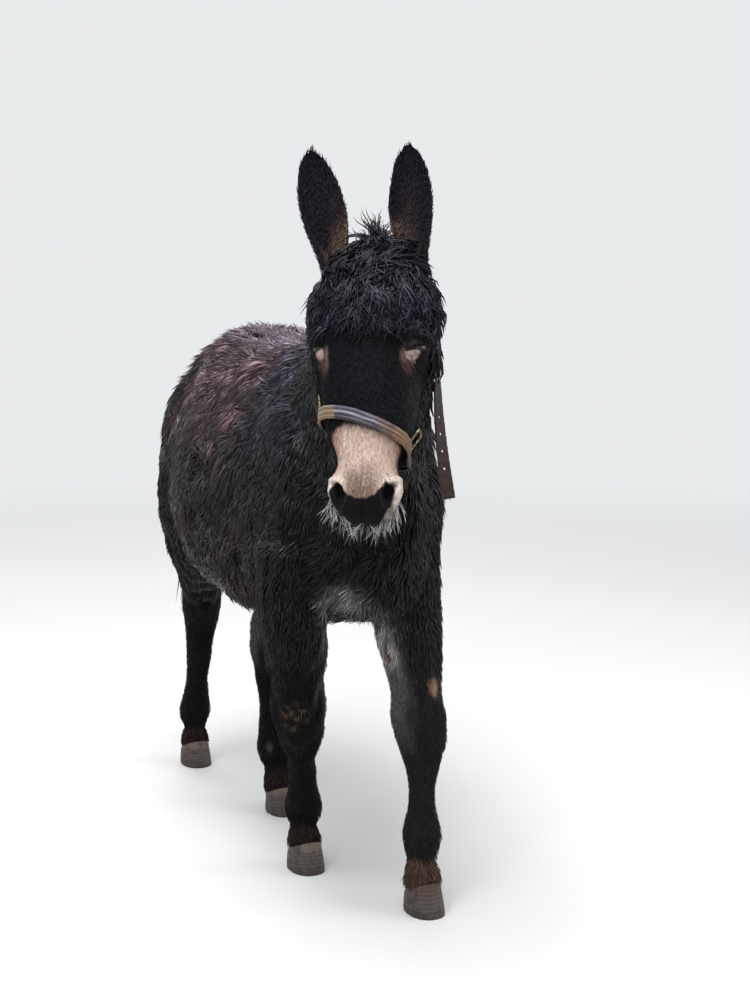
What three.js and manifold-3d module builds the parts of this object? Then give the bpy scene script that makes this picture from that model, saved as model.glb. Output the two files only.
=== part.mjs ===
// A life-size donkey in its winter coat, in mid-stride and looking to its right, in a leather headcollar.
//
// Millimetres, +Z up. The donkey walks towards -Y and its left side is +X. The origin is on the floor
// under the middle of the whole figure. Every solid reaches out to the tips of the coat.
//
// Flesh is made of lofts: rings of named half sizes swept along the spine, neck, head and legs. The
// trunk and the head keep their whole form, and the neck, legs, tail, mane and ears are carved to meet
// them with a small clearance.

import * as THREE from 'three';
import { mergeVertices } from 'three/addons/utils/BufferGeometryUtils.js';
import Module from 'manifold-3d';

const wasm = await Module();
wasm.setup();

const { degToRad, lerp, smoothstep } = THREE.MathUtils;
const LEFT = new THREE.Vector3(1, 0, 0);

// ---- Driving dimensions ------------------------------------------------------------------------

const GAP = 0.5; // clearance between neighbouring solids

const WITHERS_HEIGHT = 1132;
const BACK_HEIGHT = 1118;
const CROUP_HEIGHT = 1162;
const BELLY_HEIGHT = 502;
const BELLY_HALF_WIDTH = 252;
const CHEST_SHIFT = -46; // the forehand swings to the right, after the head

const HOOF_HEIGHT = 56;
const HOOF_HALF_WIDTH = 38;
const HOOF_TOE = 56; // how far the sole reaches in front of its middle
const HOOF_HEEL = 42; // and behind it
const CORONET_SLOPE = 24; // degrees: the coronet is higher at the toe than at the heel
const CORONET_SETBACK = 6;
const HOOF_SIDES = 16;
const HOOF_BEND = 0.4; // the share of the hoof's height at which its wall's slope changes

// Where the middle of each hoof's sole stands on the floor.
const STANCE = {
  fore_left: [30, -545],
  fore_right: [-91, -216],
  hind_left: [8, 172],
  hind_right: [-50, 640],
};

const HEAD_LENGTH = 512;
const POLL = [-128, -668, 1306];
const HEAD_PITCH = -21; // degrees: the nose is held forward of plumb
const HEAD_YAW = -33; // degrees: and turned to the donkey's right
const HEAD_ROLL = -1;

const EAR_LENGTH = 226;
const EAR_HALF_WIDTH = 46;
const EAR_WALL = 9;
const EYE_RADIUS = 21;
const EYE_PLACE = { x: 80, y: -43, z: -200 }; // in the head's own frame, mirrored for the right eye

const STRAP_WIDTH = 25;
const STRAP_THICKNESS = 4.5;
const STRAP_CLEARANCE = 4.5;
const RING_HEIGHT = 28;
const BUCKLE_HEIGHT = 36;
const BUCKLE_STATION = 3; // the step of the left cheekpiece at which the buckle and the loose end sit
const RING_STAND = 3; // how far the rings stand off the straps that they link
const METAL_THICKNESS = 4;

const TAIL_ROOT = [4, 580, 1036]; // where the hanging tail's line starts, over the croup
const TAIL_TIP = [-92, 630, 425];
const TAIL_BOW = 32; // how far the hanging tail curves out behind
const DOCK_SHARE = 0.58; // the part of the tail's length that has bone in it

// ---- Materials ---------------------------------------------------------------------------------

const finish = (color, roughness, metalness = 0) =>
  new THREE.MeshStandardMaterial({ color, roughness, metalness });

const darkCoat = finish(0x1f1a1b, 0.6);
const legCoat = finish(0x2a2325, 0.65);
const longHair = finish(0x16131a, 0.55);
const horn = finish(0x5a4c47, 0.55);
const eyeGloss = finish(0x120c0a, 0.1);
const oldLeather = finish(0x4a3d3a, 0.55);
const dullBrass = finish(0x8a7350, 0.4, 0.9);

// ---- Solids ------------------------------------------------------------------------------------

/** A closed BufferGeometry as a manifold-3d solid. */
function solid(geometry) {
  const bare = geometry.clone();
  bare.deleteAttribute('normal');
  bare.deleteAttribute('uv');
  const merged = mergeVertices(bare, 1e-3);
  return new wasm.Manifold(new wasm.Mesh({
    numProp: 3,
    vertProperties: merged.attributes.position.array,
    triVerts: new Uint32Array(merged.index.array),
  }));
}

/** A manifold-3d solid as a BufferGeometry. */
function geometryOf(shape) {
  const { numProp, numVert, vertProperties, triVerts } = shape.getMesh();
  const position = new Float32Array(numVert * 3);
  for (let i = 0; i < numVert; i++) {
    position.set(vertProperties.subarray(i * numProp, i * numProp + 3), i * 3);
  }
  const geometry = new THREE.BufferGeometry();
  geometry.setAttribute('position', new THREE.BufferAttribute(position, 3));
  geometry.setIndex(new THREE.BufferAttribute(new Uint32Array(triVerts), 1));
  geometry.computeVertexNormals();
  return geometry;
}

/** A named mesh made from a solid. */
function piece(name, shape, material) {
  const mesh = new THREE.Mesh(geometryOf(shape), material);
  mesh.name = name;
  return mesh;
}

const join = (shapes) => shapes.reduce((whole, next) => whole.add(next));

/** The biggest of a solid's separate bodies. */
const largest = (shape) => shape.decompose().reduce((a, b) => (a.volume() > b.volume() ? a : b));

/** A simple form made slightly bigger about the middle of its box, `by` on each side. */
function grown(shape, by = 2 * GAP) {
  const { min, max } = shape.boundingBox();
  const middle = min.map((v, i) => (v + max[i]) / 2);
  const scale = min.map((v, i) => 1 + (2 * by) / (max[i] - v));
  return shape
    .translate(middle.map((v) => -v))
    .scale(scale)
    .translate(middle);
}

/** A solid carved clear of its neighbours' forms, keeping its main body. */
const clearOf = (shape, ...forms) => largest(forms.reduce((left, form) => left.subtract(grown(form)), shape));

/** An ellipsoid with its middle and half sizes, turned by angles about X, Y and Z in degrees. */
function ellipsoid(at, half, turn = [0, 0, 0], segments = 14) {
  const geometry = new THREE.SphereGeometry(1, segments, segments / 2);
  const rotation = new THREE.Quaternion().setFromEuler(new THREE.Euler(...turn.map(degToRad)));
  return solid(geometry.applyMatrix4(
    new THREE.Matrix4().compose(new THREE.Vector3(...at), rotation, new THREE.Vector3(...half)),
  ));
}

/**
 * A closed solid over rings of points. Each ring runs anticlockwise seen from the end that the rings
 * lead to. A hoop's last ring joins its first, and any other form has an end made of cross strips.
 */
function skinRings(rings, hoop = false) {
  const sides = rings[0].length;
  const index = [];
  const quad = (a, b, c, d) => index.push(a, b, c, a, c, d);
  const spans = hoop ? rings.length : rings.length - 1;
  for (let i = 0; i < spans; i++) {
    const here = i * sides;
    const next = ((i + 1) % rings.length) * sides;
    for (let j = 0; j < sides; j++) {
      const k = (j + 1) % sides;
      quad(here + j, here + k, next + k, next + j);
    }
  }
  const end = (rings.length - 1) * sides;
  for (let j = 0; j < sides / 2 - 1 && !hoop; j++) {
    const [k, m, n] = [j + 1, sides - 2 - j, sides - 1 - j];
    quad(j, n, m, k);
    quad(end + j, end + k, end + m, end + n);
  }
  return solid(new THREE.BufferGeometry().setFromPoints(rings.flat()).setIndex(index));
}

/**
 * Sizes that run smoothly through a list of stations, as a function of 0 to 1. Each station has `at`,
 * the middle of its ring, and the named sizes.
 */
function smoothStations(stations, names) {
  const samples = stations.flatMap((s) => [...s.at, ...names.map((n) => s[n])]);
  const places = [0];
  for (let i = 1; i < stations.length; i++) {
    const step = stations[i].at.map((v, k) => v - stations[i - 1].at[k]);
    places.push(places[i - 1] + Math.hypot(...step));
  }
  const count = 3 + names.length;
  const spline = new THREE.CubicInterpolant(places, samples, count, new Float32Array(count));
  return (t) => {
    const [x, y, z, ...sizes] = spline.evaluate(t * places.at(-1));
    return { at: new THREE.Vector3(x, y, z), ...Object.fromEntries(names.map((n, i) => [n, sizes[i]])) };
  };
}

/** A cosine or sine pulled to the corner of its square: power 2 is round, and more is squarer. */
const squared = (value, power) => Math.sign(value) * Math.abs(value) ** (2 / power);

/**
 * A body form swept through stations. `wide` is a ring's half width, `fore` its reach to the front or
 * upper side, `aft` its reach to the other side, and `square` how square it is. A leg's last rings
 * turn to lie on a plane that slopes by `footSlope` degrees.
 */
function loft(stations, { rings, sides, footSlope = null }) {
  const full = stations.map((s) => ({ square: 2.2, ...s }));
  const track = smoothStations(full, ['wide', 'fore', 'aft', 'square']);
  const loops = [];
  for (let i = 0; i <= rings; i++) {
    const t = i / rings;
    const here = track(t);
    const tangent = track(Math.min(1, t + 0.02)).at.sub(track(Math.max(0, t - 0.02)).at).normalize();
    const across = LEFT.clone().addScaledVector(tangent, -LEFT.dot(tangent)).normalize();
    const fore = new THREE.Vector3().crossVectors(tangent, across);
    if (footSlope !== null) {
      const slope = degToRad(footSlope);
      const settle = smoothstep(t, 0.75, 1);
      fore.lerp(new THREE.Vector3(0, -Math.cos(slope), Math.sin(slope)), settle).normalize();
      across.lerp(LEFT, settle).normalize();
    }
    loops.push(Array.from({ length: sides }, (_, j) => {
      const angle = (j / sides) * 2 * Math.PI;
      const x = squared(Math.cos(angle), here.square) * here.wide;
      const y = squared(Math.sin(angle), here.square) * (Math.sin(angle) > 0 ? here.fore : here.aft);
      return here.at.clone().addScaledVector(across, x).addScaledVector(fore, y);
    }));
  }
  return skinRings(loops);
}

/** A matrix from a place and angles in degrees, turned about X, then Y, then Z. */
const placed = (at, turn) => new THREE.Matrix4().compose(
  new THREE.Vector3(...at),
  new THREE.Quaternion().setFromEuler(new THREE.Euler(...turn.map(degToRad), 'ZYX')),
  new THREE.Vector3(1, 1, 1),
);

// ---- Trunk -------------------------------------------------------------------------------------

/** The middle of the body at a place along it. */
const midline = (y) => CHEST_SHIFT * smoothstep(-y, 60, 420);

/** A trunk ring from its top, bottom, half width and the height at which it is widest. */
const trunkRing = (y, top, bottom, wide, widest) => ({
  at: [midline(y), y, widest],
  wide,
  fore: top - widest,
  aft: widest - bottom,
});

/** The forms that join into the trunk: the barrel, the shoulders and the haunches. */
function makeTrunkForms() {
  const barrel = loft([
    trunkRing(602, 975, 850, 50, 910),
    trunkRing(570, 1052, 790, 104, 895),
    trunkRing(500, 1112, 722, 152, 865),
    trunkRing(400, CROUP_HEIGHT, 648, 188, 830),
    trunkRing(290, CROUP_HEIGHT - 4, 572, 220, 795),
    trunkRing(150, BACK_HEIGHT + 16, BELLY_HEIGHT + 8, BELLY_HALF_WIDTH, 775),
    trunkRing(0, BACK_HEIGHT, BELLY_HEIGHT, BELLY_HALF_WIDTH, 775),
    trunkRing(-150, BACK_HEIGHT + 2, BELLY_HEIGHT + 22, 236, 780),
    trunkRing(-280, WITHERS_HEIGHT, BELLY_HEIGHT + 52, 198, 785),
    trunkRing(-390, WITHERS_HEIGHT - 10, BELLY_HEIGHT + 76, 164, 795),
    trunkRing(-470, 1080, 598, 130, 810),
    trunkRing(-535, 1000, 648, 94, 820),
    trunkRing(-572, 930, 726, 54, 825),
  ], { rings: 19, sides: 24 });
  const shoulders = [-1, 1].map((s) =>
    ellipsoid([midline(-370) + s * 104, -360, 815], [70, 142, 250], [-14, 0, 0]));
  const haunches = [-1, 1].map((s) =>
    ellipsoid([s * 100, 404, 822], [97, 170, 244], [14, 0, 0]));
  return [barrel, ...shoulders, ...haunches];
}

// ---- Neck and mane -----------------------------------------------------------------------------

const makeNeck = () => loft([
  { at: [midline(-280), -280, 900], wide: 140, fore: 205, aft: 230 },
  { at: [-58, -430, 990], wide: 124, fore: 180, aft: 205 },
  { at: [-88, -540, 1094], wide: 100, fore: 140, aft: 155 },
  { at: [-116, -615, 1184], wide: 86, fore: 112, aft: 112 },
  { at: [-132, -655, 1248], wide: 74, fore: 78, aft: 84 },
], { rings: 9, sides: 18 });

/** The upright mane, from the withers along the crest to the tuft between the ears. */
const makeMane = () => loft([
  { at: [-36, -290, 1120], wide: 12, fore: 22, aft: 60 },
  { at: [-48, -400, 1172], wide: 17, fore: 34, aft: 70 },
  { at: [-74, -500, 1238], wide: 19, fore: 42, aft: 70 },
  { at: [-100, -580, 1300], wide: 20, fore: 48, aft: 70 },
  { at: [-120, -635, 1340], wide: 19, fore: 42, aft: 60 },
  { at: [-134, -680, 1350], wide: 16, fore: 30, aft: 44 },
], { rings: 12, sides: 8 });

// ---- Legs --------------------------------------------------------------------------------------

/** A place moved sideways and along the stride, at a height. */
const over = ([x, y], dx, dy, z) => [x + dx, y + dy, z];

/** A place part of the way from one point to another. */
const between = (p, q, t) => p.map((v, i) => lerp(v, q[i], t));

/** The middle of the coronet above a hoof's sole. */
const coronet = ([x, y]) => [x, y + CORONET_SETBACK, HOOF_HEIGHT - CORONET_SETBACK];

/** From the fetlock to the coronet, alike on every leg. */
const foot = (fetlock, sole) => [
  { at: fetlock, wide: 39, fore: 37, aft: 45 },
  { at: between(fetlock, coronet(sole), 0.55), wide: 32, fore: 33, aft: 38 },
  { at: coronet(sole), wide: HOOF_HALF_WIDTH - 2, fore: 40, aft: 38 },
];

/** A foreleg from inside the shoulder by the elbow and knee to its coronet. */
const foreleg = (elbow, knee, fetlock, sole) => loft([
  { at: [elbow[0], elbow[1] + 8, elbow[2] + 120], wide: 58, fore: 96, aft: 96 },
  { at: elbow, wide: 66, fore: 84, aft: 84 },
  { at: between(elbow, knee, 0.45), wide: 59, fore: 60, aft: 60 },
  { at: between(elbow, knee, 0.8), wide: 51, fore: 46, aft: 46 },
  { at: knee, wide: 53, fore: 50, aft: 46, square: 2.4 },
  { at: between(knee, fetlock, 0.3), wide: 36, fore: 35, aft: 37 },
  { at: between(knee, fetlock, 0.72), wide: 32, fore: 31, aft: 37 },
  ...foot(fetlock, sole),
], { rings: 17, sides: 12, footSlope: CORONET_SLOPE });

/** A hind leg from the thigh by the stifle and hock to its coronet. */
const hindleg = (thigh, stifle, hock, fetlock, sole) => loft([
  { at: thigh, wide: 86, fore: 146, aft: 160 },
  { at: stifle, wide: 92, fore: 118, aft: 150 },
  { at: between(stifle, hock, 0.45), wide: 64, fore: 76, aft: 86 },
  { at: between(stifle, hock, 0.85), wide: 42, fore: 43, aft: 56 },
  { at: hock, wide: 43, fore: 44, aft: 52, square: 2.4 },
  { at: between(hock, fetlock, 0.3), wide: 37, fore: 37, aft: 38 },
  { at: between(hock, fetlock, 0.72), wide: 33, fore: 33, aft: 35 },
  ...foot(fetlock, sole),
], { rings: 17, sides: 12, footSlope: CORONET_SLOPE });

const makeLegs = () => ({
  foreleg_left: foreleg(
    [50, -418, 610],
    over(STANCE.fore_left, 17, 45, 335),
    over(STANCE.fore_left, 16, 38, 142),
    STANCE.fore_left,
  ),
  foreleg_right: foreleg(
    [-178, -372, 610],
    over(STANCE.fore_right, -44, -84, 335),
    over(STANCE.fore_right, -8, -15, 142),
    STANCE.fore_right,
  ),
  hindleg_left: hindleg(
    [104, 330, 830],
    [96, 228, 670],
    over(STANCE.hind_left, 6, 106, 400),
    over(STANCE.hind_left, -2, 44, 146),
    STANCE.hind_left,
  ),
  hindleg_right: hindleg(
    [-110, 396, 830],
    [-112, 374, 670],
    over(STANCE.hind_right, -8, -88, 415),
    over(STANCE.hind_right, -4, -16, 150),
    STANCE.hind_right,
  ),
});

/** A hoof: a sloping wall on a flat sole, with its top sloping under the coronet. */
function makeHoof([x, y]) {
  const slope = Math.tan(degToRad(CORONET_SLOPE));
  const ring = (height, tilt, wide, toe, heel, back) => Array.from({ length: HOOF_SIDES }, (_, j) => {
    const angle = (j / HOOF_SIDES) * 2 * Math.PI;
    const px = squared(Math.cos(angle), 2.3) * wide;
    const py = squared(Math.sin(angle), 2.3) * (Math.sin(angle) > 0 ? heel : toe);
    return new THREE.Vector3(x + px, y + back + py, height - tilt * py);
  });
  return skinRings([
    ring(0, 0, HOOF_HALF_WIDTH, HOOF_TOE, HOOF_HEEL, 0),
    ring(
      HOOF_HEIGHT * HOOF_BEND,
      slope * HOOF_BEND,
      HOOF_HALF_WIDTH - 1,
      HOOF_TOE - 8,
      HOOF_HEEL - 2,
      CORONET_SETBACK * HOOF_BEND,
    ),
    ring(coronet([x, y])[2] - GAP, slope, HOOF_HALF_WIDTH - 4, 38, 36, CORONET_SETBACK),
  ]);
}

// ---- Tail --------------------------------------------------------------------------------------

/** A place part of the way down the tail. */
const alongTail = (t) => {
  const [x, y, z] = between(TAIL_ROOT, TAIL_TIP, t);
  return [x, y + Math.sin(Math.PI * t) * TAIL_BOW, z];
};

/** The dock, which starts inside the croup, follows the rump down and then hangs clear of it. */
const makeDock = () => loft([
  { at: [2, 425, 1042], wide: 40, fore: 34, aft: 34 },
  { at: [1, 505, 1002], wide: 37, fore: 33, aft: 33 },
  { at: [-3, 568, 940], wide: 33, fore: 30, aft: 30 },
  { at: [-14, 617, 862], wide: 28, fore: 27, aft: 27 },
  { at: [-30, 636, 775], wide: 24, fore: 24, aft: 24 },
  { at: alongTail(DOCK_SHARE), wide: 20, fore: 20, aft: 20 },
], { rings: 9, sides: 12 });

const makeSwitch = () => loft([
  { at: alongTail(DOCK_SHARE + 0.006), wide: 20, fore: 20, aft: 20 },
  { at: alongTail(0.68), wide: 30, fore: 26, aft: 26 },
  { at: alongTail(0.84), wide: 33, fore: 29, aft: 29 },
  { at: alongTail(0.95), wide: 20, fore: 18, aft: 18 },
  { at: alongTail(1), wide: 5, fore: 5, aft: 5 },
], { rings: 8, sides: 12 });

// ---- Head, in a frame of its own: hanging plumb and facing -Y, with the poll at the origin --------

/** A head ring at a height below the poll. */
const headRing = (z, middle, wide, fore, aft, square = 2.4) =>
  ({ at: [0, middle, z], wide, fore, aft, square });

/** The forms that join into the head: the face, lower jaw, nostrils and brows. */
function makeHeadForms() {
  const face = loft([
    headRing(33, 18, 22, 22, 29, 2),
    headRing(10, 13, 48, 42, 54, 2),
    headRing(-18, 10, 76, 58, 68, 2.1),
    headRing(-58, 6, 104, 73, 81),
    headRing(-126, 2, 124, 92, 88, 2.2),
    headRing(-198, 4, 104, 85, 83, 2.6),
    headRing(-265, -2, 91, 72, 72, 2.5),
    headRing(-325, -6, 84, 60, 56, 2.3),
    headRing(-368, -10, 66, 55, 48, 2.3),
    headRing(-400, -12, 54, 53, 44),
    headRing(-444, -12, 60, 54, 44, 2.3),
    headRing(-483, -10, 56, 48, 42, 2.2),
    headRing(-HEAD_LENGTH, -8, 29, 27, 23, 2),
  ], { rings: 19, sides: 18 });
  const jaw = loft([
    headRing(-92, 68, 44, 48, 39),
    headRing(-150, 82, 76, 68, 60),
    headRing(-217, 76, 86, 62, 58),
    headRing(-280, 60, 86, 52, 46),
    headRing(-335, 44, 81, 44, 38),
    headRing(-380, 36, 58, 38, 32),
    headRing(-425, 32, 40, 34, 29),
    headRing(-468, 30, 40, 31, 31),
    headRing(-498, 25, 23, 21, 19, 2),
  ], { rings: 12, sides: 14 });
  const nostrils = [-1, 1].map((s) => ellipsoid([s * 42, -33, -450], [27, 24, 37], [0, s * 14, 0], 10));
  const brows = [-1, 1].map((s) => ellipsoid([s * 72, -44, -166], [31, 37, 33], [0, s * 10, 0], 10));
  return [face, jaw, ...nostrils, ...brows];
}

const makeEye = (s, radius) =>
  ellipsoid([s * EYE_PLACE.x, EYE_PLACE.y, EYE_PLACE.z], [radius, radius, radius], [0, 0, 0], 14);

/** The slot between an eye's lids. */
const makeLidSlot = (s) =>
  ellipsoid([s * (EYE_PLACE.x + 16), EYE_PLACE.y - 12, EYE_PLACE.z], [18, 20, 11], [0, 0, s * 40], 10);

/** Each ear's place on the head, its lean forward and to the donkey's left, and its turn, in degrees. */
const EARS = {
  ear_left: { at: [64, 8, -20], forward: 8, left: -4, turn: -14 },
  ear_right: { at: [-78, 8, -20], forward: 8, left: -13, turn: 14 },
};

/**
 * An ear in its own frame: base at the origin, tip up and mouth to -Y. Each ring is a crescent, with an
 * outer arc round the back and an inner arc one wall nearer the mouth.
 */
function makeEar() {
  const outline = smoothStations([
    { at: [0, 0, -34], wide: 29, deep: 30, wrap: 168 },
    { at: [0, 0, 12], wide: 32, deep: 31, wrap: 156 },
    { at: [0, 2, 56], wide: 40, deep: 30, wrap: 122 },
    { at: [0, 4, 106], wide: EAR_HALF_WIDTH, deep: 27, wrap: 106 },
    { at: [0, 6, 152], wide: 42, deep: 23, wrap: 98 },
    { at: [0, 6, 193], wide: 31, deep: 18, wrap: 92 },
    { at: [0, 4, 217], wide: 18, deep: 12, wrap: 86 },
    { at: [0, 3, EAR_LENGTH], wide: 7, deep: 8, wrap: 80 },
  ], ['wide', 'deep', 'wrap']);
  const ribs = 8;
  const rings = Array.from({ length: 12 }, (_, i) => {
    const { at, wide, deep, wrap } = outline(i / 11);
    const wall = Math.min(EAR_WALL, wide * 0.5);
    const arc = (inset) => Array.from({ length: ribs + 1 }, (__, k) => {
      const angle = degToRad(wrap) * (1 - (2 * k) / ribs);
      return new THREE.Vector3(
        at.x + Math.sin(angle) * (wide - inset),
        at.y + Math.cos(angle) * (deep - inset),
        at.z,
      );
    });
    return [...arc(0), ...arc(wall).reverse()];
  });
  return skinRings(rings);
}

/** An ear moved to its place on the head. */
function setEar({ at, forward, left, turn }) {
  const matrix = placed(at, [forward, left, 0]).multiply(placed([0, 0, 0], [0, 0, turn]));
  return makeEar().transform(matrix.elements);
}

// ---- Headcollar, in the head's frame ---------------------------------------------------------------

/** A flat strap of leather along points `at`, each with `out`, the way its outer face looks. */
function strap(path, { hoop = false, width = STRAP_WIDTH, thickness = STRAP_THICKNESS } = {}) {
  const last = path.length - 1;
  const rings = path.map(({ at, out }, i) => {
    const before = hoop ? path.at(i - 1).at : path[Math.max(0, i - 1)].at;
    const after = hoop ? path[(i + 1) % path.length].at : path[Math.min(last, i + 1)].at;
    const along = after.clone().sub(before).normalize();
    const away = out.clone().addScaledVector(along, -out.dot(along)).normalize();
    const across = new THREE.Vector3().crossVectors(away, along);
    return [[1, 1], [-1, 1], [-1, -1], [1, -1]].map(([u, v]) => at.clone()
      .addScaledVector(across, (u * width) / 2)
      .addScaledVector(away, (v * thickness) / 2));
  });
  return skinRings(rings, hoop);
}

/**
 * Where a strap lies on a mesh: on the ray that comes in along `out` towards `inside`, clear of the
 * highest point that rays across the strap's width meet. `across` is half that width, as a vector.
 */
function layOn(mesh, inside, out, across) {
  const reach = [-1, -0.5, 0, 0.5, 1].map((share) => {
    const start = inside.clone().addScaledVector(across, share).addScaledVector(out, 600);
    const [hit] = new THREE.Raycaster(start, out.clone().negate()).intersectObject(mesh);
    return hit ? hit.point.sub(inside).dot(out) : 0;
  });
  const height = Math.max(...reach) + STRAP_CLEARANCE + STRAP_THICKNESS / 2;
  return { at: inside.clone().addScaledVector(out, height), out };
}

const NOSEBAND = { height: -349, drop: 31, rise: 15, width: 26, steps: 28 }; // slipped down on the left
const HEADPIECE = { width: 22, footY: 18, browY: 58, browZ: -95, cheekSteps: 7, crownSteps: 15 };

/** The noseband's place at an angle round the nose: 0 in front and 90 on the left. */
function nosebandAt(surface, degrees) {
  const angle = degToRad(degrees);
  const height = NOSEBAND.height - NOSEBAND.drop * Math.sin(angle) + NOSEBAND.rise * Math.cos(angle);
  const out = new THREE.Vector3(Math.sin(angle), -Math.cos(angle), 0);
  return layOn(surface, new THREE.Vector3(0, 12, height), out, new THREE.Vector3(0, 0, NOSEBAND.width / 2));
}

const makeNoseband = (surface) => strap(
  Array.from({ length: NOSEBAND.steps }, (_, i) => nosebandAt(surface, (i / NOSEBAND.steps) * 360)),
  { hoop: true, width: NOSEBAND.width },
);

/** The places of a cheekpiece on one side, from its ring up to the side of the poll. */
function cheekPath(surface, s) {
  const foot = nosebandAt(surface, s * 90).at.z + NOSEBAND.width / 2 + RING_HEIGHT + 9;
  return Array.from({ length: HEADPIECE.cheekSteps }, (_, i) => {
    const t = i / HEADPIECE.cheekSteps;
    const y = lerp(HEADPIECE.footY, HEADPIECE.browY, t);
    const inside = new THREE.Vector3(0, y, lerp(foot, HEADPIECE.browZ, t));
    return layOn(surface, inside, new THREE.Vector3(s, 0, 0), new THREE.Vector3(0, HEADPIECE.width / 2, 0));
  });
}

/** The headpiece: up the left cheek, over the poll behind the ears and down the right cheek. */
function headpiecePath(cheeks, nape) {
  const { browY, browZ, width, crownSteps } = HEADPIECE;
  const crown = Array.from({ length: crownSteps }, (_, i) => {
    const angle = (i / (crownSteps - 1)) * Math.PI;
    const out = new THREE.Vector3(Math.cos(angle), 0, Math.sin(angle));
    return layOn(nape, new THREE.Vector3(0, browY, browZ), out, new THREE.Vector3(0, width / 2, 0));
  });
  return [...cheekPath(cheeks, 1), ...crown, ...cheekPath(cheeks, -1).reverse()];
}

/** A flat brass frame between two points, facing `out`. */
function makeFrame(low, high, out, wide) {
  const up = high.clone().sub(low);
  const tall = up.length();
  up.normalize();
  const across = new THREE.Vector3().crossVectors(up, out).normalize();
  const facing = new THREE.Vector3().crossVectors(across, up);
  const rectangle = (shape, w, h) => shape
    .moveTo(-w / 2, -h / 2).lineTo(w / 2, -h / 2).lineTo(w / 2, h / 2).lineTo(-w / 2, h / 2).closePath();
  const outline = rectangle(new THREE.Shape(), wide, tall);
  outline.holes.push(rectangle(new THREE.Path(), wide - 2 * METAL_THICKNESS, tall - 2 * METAL_THICKNESS));
  const geometry = new THREE.ExtrudeGeometry(outline, { depth: METAL_THICKNESS, bevelEnabled: false });
  geometry.translate(0, 0, -METAL_THICKNESS / 2);
  const middle = low.clone().add(high).multiplyScalar(0.5);
  geometry.applyMatrix4(new THREE.Matrix4().makeBasis(across, up, facing).setPosition(middle));
  return solid(geometry);
}

/** The ring that links the noseband to the headpiece on one side, standing off the cheek a little. */
function makeRing(surface, s) {
  const band = nosebandAt(surface, s * 90);
  const [foot] = cheekPath(surface, s);
  const stand = band.out.clone().multiplyScalar(RING_STAND);
  const low = band.at.clone().add(stand).add(new THREE.Vector3(0, 0, NOSEBAND.width / 2 + 5));
  const high = foot.at.clone().add(stand).sub(new THREE.Vector3(0, 0, 4));
  return makeFrame(low, high, band.out, NOSEBAND.width + 4);
}

/** The buckle, on the outer face of the left cheekpiece. */
function makeBuckle(surface) {
  const path = cheekPath(surface, 1);
  const raise = new THREE.Vector3((STRAP_THICKNESS + METAL_THICKNESS) / 2 + 1.5, 0, 0);
  const { at, out } = path[BUCKLE_STATION];
  const up = path[BUCKLE_STATION + 1].at.clone().sub(at).normalize();
  const low = at.clone().add(raise);
  return makeFrame(low, low.clone().addScaledVector(up, BUCKLE_HEIGHT), out, HEADPIECE.width + 12);
}

// The loose end's steps below its top, in the head's frame: to the left, back and down.
const LOOSE_END_DROPS = [
  [0, 0, 0],
  [1, 12, 34],
  [3, 24, 68],
  [6, 35, 102],
  [10, 47, 137],
  [15, 59, 172],
  [19, 69, 200],
];
const LOOSE_END_FACING = [18, 72]; // degrees: how far its face has turned to the front, at top and tip
const HOLES = { shares: [0.3, 0.44, 0.58, 0.72], radius: 2.5, sides: 6 }; // along the loose end

/** The strap's loose end: it hangs plumb from below the buckle, turning its face to the front. */
function makeLooseEnd(surface) {
  const top = cheekPath(surface, 1)[BUCKLE_STATION].at.clone().add(new THREE.Vector3(9, 4, -3));
  const path = LOOSE_END_DROPS.map(([sideways, back, down], i) => {
    const angle = degToRad(lerp(...LOOSE_END_FACING, i / (LOOSE_END_DROPS.length - 1)));
    const at = top.clone().add(new THREE.Vector3(sideways, back, -down));
    return { at, out: new THREE.Vector3(Math.cos(angle), -Math.sin(angle), 0) };
  });
  const holes = HOLES.shares.map((t) => {
    const spot = (path.length - 1) * t;
    const { at, out } = path[Math.floor(spot)];
    const next = path[Math.ceil(spot)].at;
    const punch = new THREE.CylinderGeometry(HOLES.radius, HOLES.radius, 30, HOLES.sides);
    const turn = new THREE.Quaternion().setFromUnitVectors(new THREE.Vector3(0, 1, 0), out);
    const middle = at.clone().lerp(next, spot % 1);
    return solid(punch.applyMatrix4(new THREE.Matrix4().compose(middle, turn, new THREE.Vector3(1, 1, 1))));
  });
  return holes.reduce((left, hole) => left.subtract(hole), strap(path));
}

// ---- The donkey ------------------------------------------------------------------------------------

const headFrame = placed(POLL, [HEAD_PITCH, HEAD_ROLL, HEAD_YAW]);
const inWorld = (shape) => shape.transform(headFrame.elements);

const trunkForms = makeTrunkForms();
const headForms = makeHeadForms();
const headInWorld = headForms.map(inWorld);
const neckForm = makeNeck();
const neckInHead = neckForm.transform(headFrame.clone().invert().elements);

const uncutHead = join(headForms);
const head = [-1, 1].reduce(
  (shape, s) => shape.subtract(makeEye(s, EYE_RADIUS + GAP)).subtract(makeLidSlot(s)),
  uncutHead,
);

const headGroup = new THREE.Group();
headGroup.applyMatrix4(headFrame);
headGroup.add(piece('head', head, darkCoat));
for (const [name, setting] of Object.entries(EARS)) {
  headGroup.add(piece(name, clearOf(setEar(setting), ...headForms, neckInHead), darkCoat));
}
headGroup.add(piece('eye_left', makeEye(1, EYE_RADIUS), eyeGloss));
headGroup.add(piece('eye_right', makeEye(-1, EYE_RADIUS), eyeGloss));

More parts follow.
